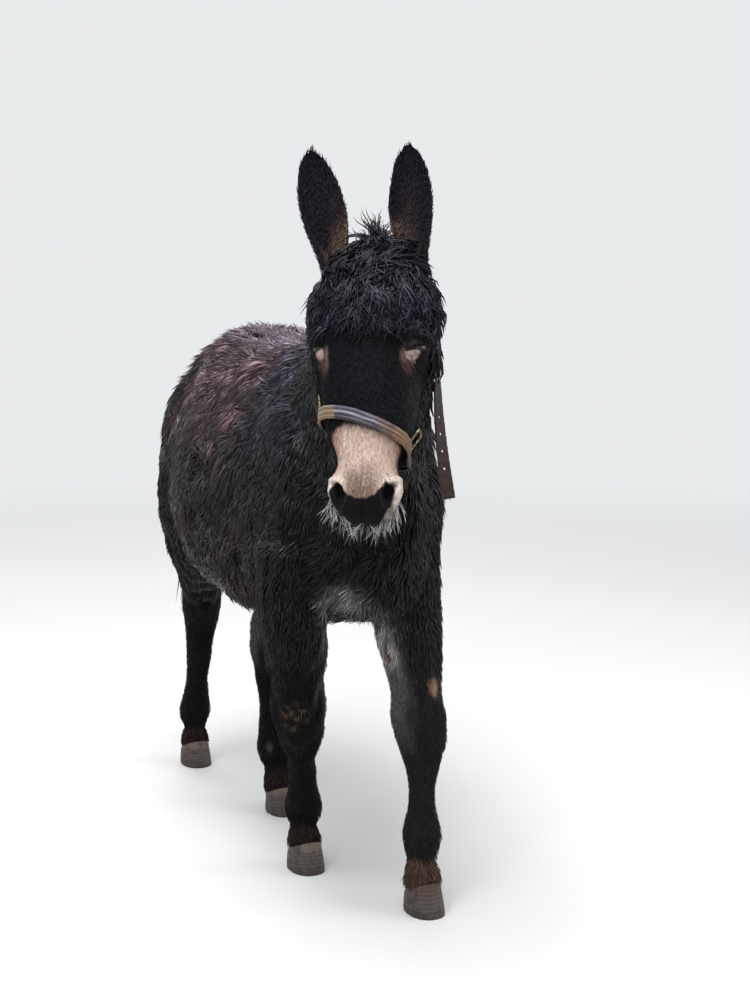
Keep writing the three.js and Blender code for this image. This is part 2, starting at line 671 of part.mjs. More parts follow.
const cheeks = piece('cheeks', uncutHead, darkCoat);
const crown = headpiecePath(cheeks, piece('nape', uncutHead.add(neckInHead), darkCoat));
headGroup.add(piece('halter_noseband', makeNoseband(cheeks), oldLeather));
headGroup.add(piece('halter_headpiece', strap(crown, { width: HEADPIECE.width }), oldLeather));
headGroup.add(piece('halter_ring_left', makeRing(cheeks, 1), dullBrass));
headGroup.add(piece('halter_ring_right', makeRing(cheeks, -1), dullBrass));
headGroup.add(piece('halter_buckle', makeBuckle(cheeks), dullBrass));
headGroup.add(piece('halter_loose_end', makeLooseEnd(cheeks), oldLeather));

const donkey = new THREE.Group();
donkey.add(headGroup);
donkey.add(piece('trunk', join(trunkForms), darkCoat));
donkey.add(piece('neck', clearOf(neckForm, ...trunkForms, ...headInWorld), darkCoat));

const parting = inWorld(strap(crown, { width: HEADPIECE.width + 6, thickness: STRAP_THICKNESS + 6 }));
const mane = makeMane().subtract(parting);
donkey.add(piece('mane', clearOf(mane, ...trunkForms, ...headInWorld, neckForm), longHair));
donkey.add(piece('tail_dock', clearOf(makeDock(), ...trunkForms), darkCoat));
donkey.add(piece('tail_switch', makeSwitch(), longHair));
for (const [name, leg] of Object.entries(makeLegs())) {
  donkey.add(piece(name, clearOf(leg, ...trunkForms), legCoat));
}
for (const [corner, sole] of Object.entries(STANCE)) {
  donkey.add(piece(`hoof_${corner}`, makeHoof(sole), horn));
}

// The origin goes to the floor, under the middle of the figure's box.
const box = new THREE.Box3().setFromObject(donkey, true);
const middle = box.getCenter(new THREE.Vector3());
donkey.position.set(-middle.x, -middle.y, -box.min.z);

const figure = new THREE.Group();
figure.add(donkey);

export default figure;
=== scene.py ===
"""The looks of a life-size museum model: a shaggy black-brown donkey in a halter, walking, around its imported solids."""
import sys

import logging
import math
from collections.abc import Callable, Sequence
from dataclasses import astuple, dataclass, field
from enum import Enum, StrEnum

import bmesh
import bpy
import numpy as np
from bpy.types import Collection, ID, Material, Mesh, Node, NodeSocket, NodeTree, Object
from mathutils import Matrix, Vector
from mathutils.bvhtree import BVHTree

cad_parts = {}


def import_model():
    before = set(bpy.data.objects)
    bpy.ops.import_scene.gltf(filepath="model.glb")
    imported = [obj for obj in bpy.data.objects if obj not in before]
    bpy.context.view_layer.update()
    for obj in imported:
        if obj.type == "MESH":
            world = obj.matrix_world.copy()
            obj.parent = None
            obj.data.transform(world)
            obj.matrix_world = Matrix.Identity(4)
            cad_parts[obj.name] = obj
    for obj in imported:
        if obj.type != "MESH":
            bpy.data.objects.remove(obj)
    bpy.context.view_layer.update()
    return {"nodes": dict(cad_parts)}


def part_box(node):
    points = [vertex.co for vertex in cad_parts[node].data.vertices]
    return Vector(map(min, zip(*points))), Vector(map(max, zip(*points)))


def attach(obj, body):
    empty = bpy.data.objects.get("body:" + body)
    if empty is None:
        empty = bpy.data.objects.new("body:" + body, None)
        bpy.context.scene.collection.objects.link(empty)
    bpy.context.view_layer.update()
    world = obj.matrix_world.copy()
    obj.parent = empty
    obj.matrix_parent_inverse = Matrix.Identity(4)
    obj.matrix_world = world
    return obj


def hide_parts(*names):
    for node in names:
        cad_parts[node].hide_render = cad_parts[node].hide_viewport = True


LOG = logging.getLogger("donkey")
Array = np.ndarray
Colour = tuple[float, float, float]
Place = tuple[float, float, float]

BODY = "root"
LEGS = ("foreleg_left", "foreleg_right", "hindleg_left", "hindleg_right")
EARS = ("ear_left", "ear_right")
EYES = ("eye_left", "eye_right")
HOOVES = ("hoof_fore_left", "hoof_fore_right", "hoof_hind_left", "hoof_hind_right")
FLESH = ("trunk", "neck", "head", *LEGS, "tail_dock", *EARS)
ONE_SKIN = ("trunk", "neck", "head", *LEGS, "tail_dock", *EYES)
NOSE_LINE = -0.004


class Slot(StrEnum):
    """The material slots of the finished pieces."""

    COAT = "winter_coat"
    HAIR = "long_hair"
    HORN = "hoof_horn"
    EYE = "eye_gloss"
    LEATHER = "old_leather"
    BRASS = "dull_brass"


class CoatTone(Enum):
    """The colours of the trunk, neck, legs and ears, in 0 to 255."""

    BLACK = (19, 18, 20)
    FLANK = (33, 30, 31)
    NECK = (32, 31, 33)
    SHOULDER = (46, 44, 54)
    SADDLE = (82, 67, 72)
    SADDLE_RUST = (80, 58, 60)
    # painted highlight: lilac grey for the upward-facing top of the back
    BACK = (94, 86, 96)
    HAUNCH = (26, 25, 31)
    LOW_FLANK = (20, 18, 18)
    BROWN_PATCH = (54, 40, 42)
    BELLY = (46, 40, 33)
    CHEST = (104, 102, 102)
    LEG = (11, 11, 12)
    LEFT_FORELEG = (29, 29, 32)
    INNER_LEG = (90, 86, 88)
    INNER_STREAK = (170, 166, 166)
    RUSTY_SPOT = (84, 52, 38)
    WORN_SPOT = (150, 122, 100)
    KNEE_SCUFF = (92, 78, 58)
    FETLOCK_SPOT = (92, 84, 78)
    CORONET = (46, 36, 33)
    LEFT_CORONET = (80, 61, 51)
    EAR = (22, 22, 28)
    EAR_FOOT = (104, 84, 72)
    EAR_CUP = (44, 34, 36)


class FaceTone(Enum):
    """The colours of the head, in 0 to 255."""

    FACE = (18, 18, 22)
    # painted sheen: a bluish grey that stands in for the fringe's highlights
    FRINGE = (28, 29, 38)
    CROWN = (10, 10, 14)
    # painted sheen on the left cheek
    CHEEK = (50, 48, 51)
    NOSE_EDGE = (132, 92, 82)
    NOSE = (182, 160, 148)
    NOSE_SIDE = (176, 140, 124)
    NOSE_PALE = (206, 190, 178)
    NOSE_MIDDLE = (160, 130, 116)
    NOSE_SHADE = (104, 84, 74)
    NOSE_STREAK = (140, 112, 98)
    NOSE_HAIR = (226, 212, 200)
    # painted shade in the nose's creases
    CREASE = (92, 66, 56)
    PINK = (150, 98, 84)
    MUZZLE_SIDE = (196, 184, 174)
    LIP = (70, 67, 68)
    LIP_LINE = (150, 144, 140)
    SHIELD = (17, 15, 18)
    # painted shade in the nostril hollows
    NOSTRIL = (6, 5, 6)
    NOSTRIL_RIM = (46, 42, 46)
    CHIN = (66, 64, 66)
    CHIN_MIDDLE = (24, 23, 25)
    RIGHT_SOCKET = (84, 62, 60)
    RIGHT_LID = (120, 102, 96)
    RIGHT_LID_PALE = (178, 158, 154)
    LEFT_BROW = (46, 38, 38)
    LEFT_CORNER = (104, 80, 70)
    LEFT_SOCKET = (80, 58, 54)
    LEFT_LID = (164, 144, 140)
    LEFT_LID_BROWN = (100, 76, 70)
    LID_EDGE = (10, 8, 9)


class TackTone(Enum):
    """The colours of the hooves, eyes, whiskers, halter and studio, in 0 to 255."""

    HORN = (72, 65, 62)
    HORN_TOP = (102, 89, 80)
    WET_HORN_TOP = (70, 53, 47)
    DIRT = (46, 38, 32)
    EYE_WHITE = (34, 24, 22)
    IRIS = (24, 14, 10)
    PUPIL = (5, 4, 5)
    WHISKER = (146, 144, 144)
    WHISKER_PALE = (178, 175, 173)
    STRAP = (30, 27, 28)
    STRAP_WORN = (54, 47, 44)
    LOOSE_END = (38, 26, 22)
    LOOSE_END_WORN = (76, 57, 46)
    BAND = (64, 64, 80)
    BAND_WORN = (104, 102, 116)
    # painted highlight along the noseband's raised middle ridge
    BAND_RIDGE = (142, 136, 146)
    BAND_LOW = (44, 36, 39)
    BAND_BROWN = (88, 70, 58)
    BAND_TAN = (126, 102, 80)
    BAND_RIGHT_END = (128, 106, 78)
    BAND_LEFT_END = (118, 92, 64)
    # painted highlight on the noseband's upper edge and painted shade on its lower edge
    BAND_UPPER_EDGE = (146, 140, 148)
    BAND_LOWER_EDGE = (34, 28, 28)
    BRASS = (104, 92, 70)
    BRASS_WORN = (168, 152, 122)
    FLOOR = (226, 226, 224)
    SURROUND = (232, 234, 236)


def srgb(tone: Enum) -> Colour:
    """Turns a tone written in 0 to 255 into the linear colour that a shader takes."""
    parts = [value / 255 for value in tone.value]
    return tuple(v / 12.92 if v <= 0.04045 else ((v + 0.055) / 1.055) ** 2.4 for v in parts)


def ramp(low: float, high: float, values: Array) -> Array:
    """Rises smoothly from 0 at low to 1 at high; with low above high it falls instead."""
    share = np.clip((values - low) / (high - low), 0, 1)
    return share * share * (3 - 2 * share)


def bell(values: Array, middle: float | Array, width: float) -> Array:
    """One at the middle, falling smoothly to nothing a few widths away on either side."""
    return np.exp(-((values - middle) / width) ** 2)


def mix(values: Array, others: float | Array, share: Array) -> Array:
    """Values where the share is zero, turning into the others where it is one."""
    return values * (1 - share) + others * share


def unit(vectors: Array) -> Array:
    """Scales each row to length one."""
    return vectors / np.maximum(np.linalg.norm(vectors, axis=1, keepdims=True), 1e-9)


def along_skin(headings: Array, normals: Array) -> Array:
    """Directions laid flat on the surface with those normals."""
    return unit(headings - normals * (headings * normals).sum(axis=1, keepdims=True))


def ripple(points: Array, size: float, seed: int, waves: int = 12) -> Array:
    """A smooth random height over space, from summed waves.

    Args:
        points: Places, one per row.
        size: Rough width of one bump, in metres.
        seed: Which pattern.
        waves: How many waves are summed.

    Returns:
        One value per place, mostly within -1 to 1.
    """
    draw = np.random.default_rng(seed)
    total = np.zeros(len(points))
    for _ in range(waves):
        heading = draw.normal(size=3)
        heading *= math.pi / size * draw.uniform(0.6, 1.4) / np.linalg.norm(heading)
        total += np.sin(points @ heading + draw.uniform(0, 2 * math.pi))
    return total / math.sqrt(waves)


def gusts(points: Array, size: float, seed: int) -> Array:
    """A smooth random direction over space: ripples of three seeds in a row, side by side."""
    return np.stack([ripple(points, size, seed + k) for k in range(3)], axis=1)


def blob(points: Array, centre: Place, radii: Place, edge: float = 0.9) -> Array:
    """One inside an ellipsoid, fading to zero outside it.

    Args:
        points: Places, one per row.
        centre: The ellipsoid's middle.
        radii: Its three half-widths.
        edge: Share of the radius over which it fades.

    Returns:
        One value per place, within 0 to 1.
    """
    far = np.linalg.norm((points - np.array(centre)) / np.array(radii), axis=1)
    return ramp(1 + edge / 2, 1 - edge / 2, far)


@dataclass(frozen=True)
class HeadFrame:
    """The head's own frame: poll at the origin, +x to the animal's left, -y out of the face, -z to the lips."""

    origin: Place = (-0.1117, -0.5686, 1.306)
    pitch: float = -21.0
    roll: float = -1.0
    yaw: float = -33.0

    def axes(self) -> Array:
        """Works out the frame's axes.

        Returns:
            The axes, one per column.
        """
        turns = ((self.yaw, "Z"), (self.roll, "Y"), (self.pitch, "X"))
        yaw, roll, pitch = (Matrix.Rotation(math.radians(angle), 3, axis) for angle, axis in turns)
        return np.array(yaw @ roll @ pitch)

    def local(self, points: Array) -> Array:
        """World places in the head's frame."""
        return (points - np.array(self.origin)) @ self.axes()

    def world(self, points: Array) -> Array:
        """Head-frame places in the world."""
        return points @ self.axes().T + np.array(self.origin)

    def turned(self, vectors: Array) -> Array:
        """Head-frame directions in the world."""
        return vectors @ self.axes().T

    def turned_back(self, vectors: Array) -> Array:
        """World directions in the head's frame."""
        return vectors @ self.axes()


HEAD = HeadFrame()


class Shell:
    """A triangle surface held as arrays, with one row per point in each named measure."""

    def __init__(self, points: Array, faces: Array) -> None:
        """Holds a surface.

        Args:
            points: The places of the points.
            faces: The numbers of each face's three points.
        """
        self.points = points
        self.faces = faces
        self.measures: dict[str, Array] = {}

    @classmethod
    def of_mesh(cls, mesh: Mesh) -> "Shell":
        """Reads a triangulated mesh.

        Args:
            mesh: Its faces are all triangles.

        Returns:
            The same surface, with no measures.
        """
        points = np.empty(len(mesh.vertices) * 3)
        mesh.vertices.foreach_get("co", points)
        faces = np.empty(len(mesh.loops), dtype=np.int32)
        mesh.loops.foreach_get("vertex_index", faces)
        return cls(points.reshape(-1, 3), faces.reshape(-1, 3))

    @classmethod
    def of_nodes(cls, names: Sequence[str], nodes: dict[str, Object], swell: float = 0.0) -> "Shell":
        """Joins merged copies of CAD nodes.

        Args:
            names: The nodes to copy.
            nodes: Every node by name.
            swell: How far each copy grows, so that neighbours run into each other.

        Returns:
            One shell of all the copies.
        """
        whole = cls(np.empty((0, 3)), np.empty((0, 3), dtype=np.int32))
        for name in names:
            loose = cls.of_mesh(nodes[name].data)
            _, first, place = np.unique(np.round(loose.points, 5), axis=0, return_index=True, return_inverse=True)
            part = cls(loose.points[first], place.reshape(-1)[loose.faces])
            part.points = part.points + part.normals() * swell
            whole = whole.joined(part)
        return whole

    def joined(self, other: "Shell") -> "Shell":
        """This shell and another as one, without their measures."""
        faces = np.vstack([self.faces, other.faces + len(self.points)])
        return Shell(np.vstack([self.points, other.points]), faces)

    def normals(self) -> Array:
        """Averages the faces round each point.

        Returns:
            The outward direction at each point.
        """
        a, b, c = (self.points[self.faces[:, k]] for k in range(3))
        flat = np.cross(b - a, c - a)
        total = np.zeros_like(self.points)
        for k in range(3):
            for axis in range(3):
                total[:, axis] += np.bincount(self.faces[:, k], flat[:, axis], len(self.points))
        return unit(total)

    def edges(self) -> Array:
        """Each pair of joined points once."""
        pairs = np.vstack([self.faces[:, [0, 1]], self.faces[:, [1, 2]], self.faces[:, [2, 0]]])
        return np.unique(np.sort(pairs, axis=1), axis=0)

    def search_tree(self) -> BVHTree:
        """The surface as a tree that finds the nearest place or where a ray meets it."""
        return BVHTree.FromPolygons(self.points.tolist(), self.faces.tolist())

    def smoothed(self, values: Array, rounds: int) -> Array:
        """Draws each point's value half-way to its neighbours' mean, again and again.

        Args:
            values: One row per point.
            rounds: How many times.

        Returns:
            The smoothed values, in the same shape.
        """
        edges = self.edges()
        ends = np.concatenate([edges[:, 0], edges[:, 1]])
        others = np.concatenate([edges[:, 1], edges[:, 0]])
        count = np.maximum(np.bincount(ends, minlength=len(self.points)), 1)
        result = values.reshape(len(values), -1).astype(float)
        for _ in range(rounds):
            mean = np.stack([np.bincount(ends, column[others], len(count)) / count for column in result.T], axis=1)
            result = result + (mean - result) * 0.5
        return result.reshape(values.shape)

    def moved(self, directions: Array, how_far: Array) -> None:
        """Moves each point in its own direction by its own distance."""
        self.points = self.points + directions * how_far[:, None]

    def to_mesh(self, name: str, faces: Array | None = None) -> Mesh:
        """Writes the shell, or some of its faces, as a mesh with its measures as attributes.

        Args:
            name: The mesh's name.
            faces: Numbers of the faces to keep, or None for all.

        Returns:
            The mesh, smooth-shaded.
        """
        kept = self.faces if faces is None else self.faces[faces]
        used, local = np.unique(kept.reshape(-1), return_inverse=True)
        mesh = bpy.data.meshes.new(name)
        mesh.from_pydata(self.points[used].tolist(), [], local.reshape(-1, 3).tolist())
        kinds = {1: ("FLOAT", "value"), 3: ("FLOAT_VECTOR", "vector"), 4: ("FLOAT_COLOR", "color")}
        for title, values in self.measures.items():
            kind, slot = kinds[1 if values.ndim == 1 else values.shape[1]]
            layer = mesh.attributes.new(title, kind, "POINT")
            layer.data.foreach_set(slot, values[used].astype(np.float32).reshape(-1))
        mesh.shade_smooth()
        mesh.update()
        return mesh


class Paint:
    """A colour for each point of a shell, laid on coat by coat."""

    def __init__(self, shell: Shell, base: Enum) -> None:
        """Starts with one tone all over the shell."""
        self.shell = shell
        self.tint = np.tile(np.array(srgb(base)), (len(shell.points), 1))

    def lay(self, tone: Enum, mask: Array) -> None:
        """Lays a tone over the rest where the mask says."""
        self.tint = mix(self.tint, np.array(srgb(tone)), np.clip(mask, 0, 1)[:, None])

    def dry(self) -> None:
        """Writes the colours on the shell, for its finish to read."""
        self.shell.measures["tint"] = np.hstack([self.tint, np.ones((len(self.tint), 1))])


def link(name: str, data: ID | None) -> Object:
    """Puts a new object in the scene.

    Args:
        name: The object's name.
        data: Its mesh, lamp or camera.

    Returns:
        The object.
    """
    thing = bpy.data.objects.new(name, data)
    bpy.context.scene.collection.objects.link(thing)
    return thing


def settle(piece: Object, slot: Slot, *nodes: str) -> None:
    """Rides a finished piece on the body and reports it.

    Args:
        piece: The piece, with its finish on it.
        slot: Its material slot; not used.
        nodes: The CAD nodes that it stands for, if any.
    """
    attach(piece, BODY)
    if nodes:
        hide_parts(*nodes)
    LOG.info("%s: %d triangles", piece.name, len(piece.data.polygons))


def dress(name: str, shell: Shell, finish: Material, slot: Slot, *nodes: str) -> None:
    """Makes a shell into a finished piece and settles it.

    Args:
        name: The piece's name.
        shell: Its surface, with its colours on it.
        finish: Its material.
        slot: Its material slot.
        nodes: The CAD nodes that it stands for.
    """
    piece = link(name, shell.to_mesh(name))
    piece.data.materials.append(finish)
    settle(piece, slot, *nodes)


def evaluated(holder: Object) -> Mesh:
    """Makes a plain mesh of what an object's modifiers give.

    Args:
        holder: The object, which is thrown away with its mesh.

    Returns:
        The new mesh.
    """
    bpy.context.view_layer.update()
    result = bpy.data.meshes.new_from_object(holder.evaluated_get(bpy.context.evaluated_depsgraph_get()))
    spare = holder.data
    bpy.data.objects.remove(holder)
    bpy.data.meshes.remove(spare)
    return result


def fused(shell: Shell, grain: float) -> Mesh:
    """Makes one closed skin round everything in a shell.

    Args:
        shell: Closed forms that may run into each other.
        grain: The size of the even squares that the skin is made of.

    Returns:
        The skin's mesh.
    """
    holder = link("fusing", shell.to_mesh("fusing"))
    remesh = holder.modifiers.new("fuse", "REMESH")
    remesh.mode = "VOXEL"
    remesh.voxel_size = grain
    return evaluated(holder)


def refine(mesh: Mesh, wanted: Callable[[Array], Array]) -> None:
    """Quarters the faces whose centres are wanted.

    Args:
        mesh: Changed in place.
        wanted: Takes face centres and says which to quarter.
    """
    grid = bmesh.new()
    grid.from_mesh(mesh)
    centres = np.array([face.calc_center_median() for face in grid.faces])
    chosen = {edge for face, keep in zip(list(grid.faces), wanted(centres)) if keep for edge in face.edges}
    bmesh.ops.subdivide_edges(grid, edges=list(chosen), cuts=1, use_grid_fill=True)
    grid.to_mesh(mesh)
    grid.free()


def triangulated(mesh: Mesh) -> Shell:
    """Cuts a mesh's faces into triangles and reads it.

    Args:
        mesh: Changed in place.

    Returns:
        Its surface.
    """
    grid = bmesh.new()
    grid.from_mesh(mesh)
    bmesh.ops.triangulate(grid, faces=grid.faces[:])
    grid.to_mesh(mesh)
    grid.free()
    return Shell.of_mesh(mesh)


class Tree:
    """A short way to write a node tree."""

    def __init__(self, tree: NodeTree) -> None:
        """Starts on an empty tree."""
        self.tree = tree
        tree.nodes.clear()

    @classmethod
    def of_material(cls, name: str) -> tuple[Material, "Tree"]:
        """Makes a material.

        Args:
            name: Its name.

        Returns:
            The material and its empty tree.
        """
        made = bpy.data.materials.new(name)
        made.use_nodes = True
        return made, cls(made.node_tree)

    def add(self, kind: str, inputs: dict | None = None, **settings: str) -> Node:
        """Adds a node.

        Args:
            kind: The node's type.
            inputs: A value or a socket to link, by input name or number.
            settings: The node's own settings.

        Returns:
            The node.
        """
        node = self.tree.nodes.new(kind)
        for name, value in settings.items():
            setattr(node, name, value)
        for name, value in (inputs or {}).items():
            if isinstance(value, NodeSocket):
                self.tree.links.new(value, node.inputs[name])
            else:
                node.inputs[name].default_value = value
        return node

    def math(self, operation: str, a: object, b: object = 0.0) -> NodeSocket:
        """One sum of two values."""
        return self.add("ShaderNodeMath", {0: a, 1: b}, operation=operation).outputs[0]

    def attribute(self, name: str, kind: str = "FLOAT") -> NodeSocket:
        """A named attribute, in a geometry tree."""
        return self.add("GeometryNodeInputNamedAttribute", {"Name": name}, data_type=kind).outputs["Attribute"]

    def chance(self, low: object, high: object, seed: int) -> NodeSocket:
        """A random number for each element, in a geometry tree."""
        return self.add("FunctionNodeRandomValue", {2: low, 3: high, "Seed": seed}, data_type="FLOAT").outputs[1]


@dataclass(frozen=True)
class LockShape:
    """One lock of hair of unit length along +Y, its tip at Y = 1: three-sided, flat below and ridged above.

    The curl brings the tip down and the wave and sway take it sideways, in parts of the lock's height and width. The
    lock is fullest at that part of its length, and its ridge is as thick as that part of its lift.
    """

    bands: int = 3
    curl: float = 0.0
    sway: float = 0.0
    fullest: float = 0.35
    thick: float = 0.3
    wave: float = 0.0

    def mesh(self, name: str) -> Mesh:
        """Makes the lock's mesh, with its own place across and along as an attribute.

        Args:
            name: The mesh's name.

        Returns:
            A closed mesh of a few triangles.
        """
        points: list[Place] = []
        spots: list[Place] = []
        for step in range(self.bands):
            along = step / self.bands
            half = 0.5 * (0.55 + 0.45 * math.sin(math.pi * min(along / self.fullest, 1) / 2)) * (1 - along**2.2)
            middle = self.sway * along**2 + self.wave * math.sin(2 * math.pi * along)
            rise = math.sin(math.pi * 0.5 * along) - self.curl * along**3 - 0.12
            points += [(middle - half, along, rise), (middle + half, along, rise), (middle, along, rise + self.thick)]
            spots += [(-0.5, along, 0), (0.5, along, 0), (0.0, along, 0)]
        points.append((self.sway, 1.0, 0.88 - self.curl))
        spots.append((0.0, 1.0, 0.0))
        faces: list[tuple[int, ...]] = [(0, 1, 2)]
        for low in range(0, 3 * (self.bands - 1), 3):
            high = low + 3
            faces += [(low + k, high + k, high + (k + 1) % 3, low + (k + 1) % 3) for k in range(3)]
        tip, last = 3 * self.bands, 3 * self.bands - 3
        faces += [(last + k, tip, last + (k + 1) % 3) for k in range(3)]
        mesh = bpy.data.meshes.new(name)
        mesh.from_pydata(points, [], faces)
        grid = bmesh.new()
        grid.from_mesh(mesh)
        bmesh.ops.recalc_face_normals(grid, faces=grid.faces[:])
        bmesh.ops.triangulate(grid, faces=grid.faces[:])
        grid.to_mesh(mesh)
        grid.free()
        layer = mesh.attributes.new("spot", "FLOAT_VECTOR", "POINT")
        layer.data.foreach_set("vector", np.array(spots, dtype=np.float32).reshape(-1))
        mesh.shade_smooth()
        return mesh


class Lock(Enum):
    """The kinds of lock, each in a few bends so that no two neighbours match."""

    COAT = tuple(LockShape(2, curl, sway) for curl, sway in ((0.15, 0.9), (0.4, -1.0), (0.0, 0.2), (0.3, -0.2)))
    WAVY = tuple(LockShape(4, curl, sway, 0.3, 0.34, wave) for curl, sway, wave in
                 ((0.1, 2.8, -0.9), (0.4, -3.0, 1.0), (0.0, 1.2, 1.3), (0.3, -1.0, -1.2)))
    FRINGE = tuple(LockShape(4, curl, sway, 0.3, 0.36, wave) for curl, sway, wave in
                   ((1.5, 2.2, -0.8), (1.9, -2.4, 0.9), (1.2, 1.0, 1.1), (1.7, -0.8, -1.0)))
    LONG = tuple(LockShape(5, curl, sway, 0.3) for curl, sway in ((0.1, 1.5), (0.2, -1.6), (0.0, 0.5), (-0.1, -0.4)))
    WHISKER = tuple(LockShape(4, curl, sway, 0.1) for curl, sway in ((0.3, 6.0), (-0.2, -5.0), (0.1, 1.5)))

    def collection(self) -> Collection:
        """Makes the kind's locks when they are first asked for.

        Returns:
            The locks, as a collection that no scene shows.
        """
        title = f"locks_{self.name.lower()}"
        if title not in bpy.data.collections:
            group = bpy.data.collections.new(title)
            for number, shape in enumerate(self.value):
                name = f"{title}_{number}"
                group.objects.link(bpy.data.objects.new(name, shape.mesh(name)))
        return bpy.data.collections[title]


@dataclass(frozen=True)
class Growth:
    """How one piece of hair grows: its locks and finish, how far they turn and toss in radians, and how many stay."""

    seed: int
    lock: Lock
    finish: Material
    turn: float = 0.26
    toss: float = 0.06
    share: float = 1.0

    def inputs(self) -> dict[str, object]:
        """The values of the coat tree's inputs, by name."""
        return {"Density": self.share, "Seed": self.seed, "Turn": self.turn, "Toss": self.toss,
                "Locks": self.lock.collection(), "Finish": self.finish}


class CoatTree:
    """The node tree that lays locks over a patch of skin, along its flow."""

    BAKED_PATCH = 0.003
    WIDTHS = (0.5, 1.4)
    LENGTHS = (0.65, 1.25)
    LIFTS = (0.45, 1.1)
    MOST_ROLL = 0.5
    MOST_PICKED = 11
    SOCKETS = {"Geometry": "Geometry", "Density": "Float", "Seed": "Int", "Turn": "Float", "Toss": "Float",
               "Locks": "Collection", "Finish": "Material"}

    def __init__(self) -> None:
        """Builds the tree once for every piece of hair."""
        self.group = bpy.data.node_groups.new("coat", "GeometryNodeTree")
        for name, kind in self.SOCKETS.items():
            self.group.interface.new_socket(name=name, in_out="INPUT", socket_type="NodeSocket" + kind)
        self.group.interface.new_socket(name="Geometry", in_out="OUTPUT", socket_type="NodeSocketGeometry")
        tree = Tree(self.group)
        given = tree.add("NodeGroupInput").outputs
        density = tree.math("MULTIPLY", given["Density"], tree.attribute("fur_density"))
        roots = tree.add("GeometryNodeDistributePointsOnFaces",
                         {"Mesh": given["Geometry"], "Density": density, "Seed": given["Seed"]},
                         distribute_method="RANDOM")
        locks = tree.add("GeometryNodeCollectionInfo",
                         {"Collection": given["Locks"], "Separate Children": True, "Reset Children": True})
        pick = tree.add("FunctionNodeRandomValue", {4: 0, 5: self.MOST_PICKED, "Seed": 9}, data_type="INT").outputs[2]
        placed = tree.add("GeometryNodeInstanceOnPoints", {
            "Points": roots.outputs["Points"], "Instance": locks.outputs[0], "Pick Instance": True,
            "Instance Index": pick, "Scale": self.sizes(tree),
            "Rotation": self.facing(tree, roots.outputs["Normal"], given["Turn"], given["Toss"]),
        })
        shade = tree.add("GeometryNodeStoreNamedAttribute",
                         {"Geometry": placed.outputs[0], "Name": "shade", "Value": tree.chance(0.0, 1.0, 10)},
                         data_type="FLOAT", domain="INSTANCE")
        real = tree.add("GeometryNodeRealizeInstances", {"Geometry": shade.outputs[0]})
        mapped = tree.add("GeometryNodeStoreNamedAttribute",
                          {"Geometry": real.outputs[0], "Name": "OFBake", "Value": self.baked_place(tree)},
                          data_type="FLOAT2", domain="CORNER")
        finished = tree.add("GeometryNodeSetMaterial", {"Geometry": mapped.outputs[0], "Material": given["Finish"]})
        tree.add("NodeGroupOutput", {0: finished.outputs[0]})

    def facing(self, tree: Tree, normal: NodeSocket, turn: NodeSocket,
               toss: NodeSocket) -> NodeSocket:
        """Adds the nodes that turn each lock along the flow and off the skin, each a little differently.

        Args:
            tree: The coat's tree.
            normal: The skin's normal at each root.
            turn: How far a lock may turn sideways, in radians.
            toss: How far it may lift or sink.

        Returns:
            Each lock's rotation.
        """
        laid = tree.add("FunctionNodeAlignRotationToVector",
                        {"Vector": tree.attribute("flow", "FLOAT_VECTOR")}, axis="Y")
        combed = tree.add("FunctionNodeAlignRotationToVector",
                          {"Rotation": laid.outputs[0], "Vector": normal}, axis="Z", pivot_axis="Y")
        back_turn, back_toss = tree.math("MULTIPLY", turn, -1.0), tree.math("MULTIPLY", toss, -1.0)
        pitch = tree.math("ADD", tree.attribute("fur_stand"), tree.chance(back_toss, toss, 3))
        roll = tree.chance(-self.MOST_ROLL, self.MOST_ROLL, 4)
        bend = tree.add("ShaderNodeCombineXYZ", {0: pitch, 1: roll, 2: tree.chance(back_turn, turn, 5)})
        nudge = tree.add("FunctionNodeEulerToRotation", {0: bend.outputs[0]})
        return tree.add("FunctionNodeRotateRotation", {"Rotation": combed.outputs[0], "Rotate By": nudge.outputs[0]},
                        rotation_space="LOCAL").outputs[0]

    def sizes(self, tree: Tree) -> NodeSocket:
        """Adds the nodes that size each lock, each a little differently.

        Args:
            tree: The coat's tree.

        Returns:
            Each lock's scale.
        """
        spans = (("fur_width", self.WIDTHS), ("fur_length", self.LENGTHS), ("fur_lift", self.LIFTS))
        scales = {axis: tree.math("MULTIPLY", tree.attribute(name), tree.chance(*span, 6 + axis))
                  for axis, (name, span) in enumerate(spans)}
        return tree.add("ShaderNodeCombineXYZ", scales).outputs[0]

    def baked_place(self, tree: Tree) -> NodeSocket:
        """Adds the nodes that give each lock a small patch of the bake map, at its root's place on the skin.

        Args:
            tree: The coat's tree.

        Returns:
            The place on the map of each corner.
        """
        centred = tree.add("ShaderNodeVectorMath", {0: tree.attribute("spot", "FLOAT_VECTOR"), 1: (0.0, -0.5, 0.0)})
        spread = tree.add("ShaderNodeVectorMath", {0: centred.outputs[0], "Scale": self.BAKED_PATCH},
                          operation="SCALE")
        root = tree.attribute("root_place", "FLOAT_VECTOR")
        return tree.add("ShaderNodeVectorMath", {0: root, 1: spread.outputs[0]}).outputs[0]

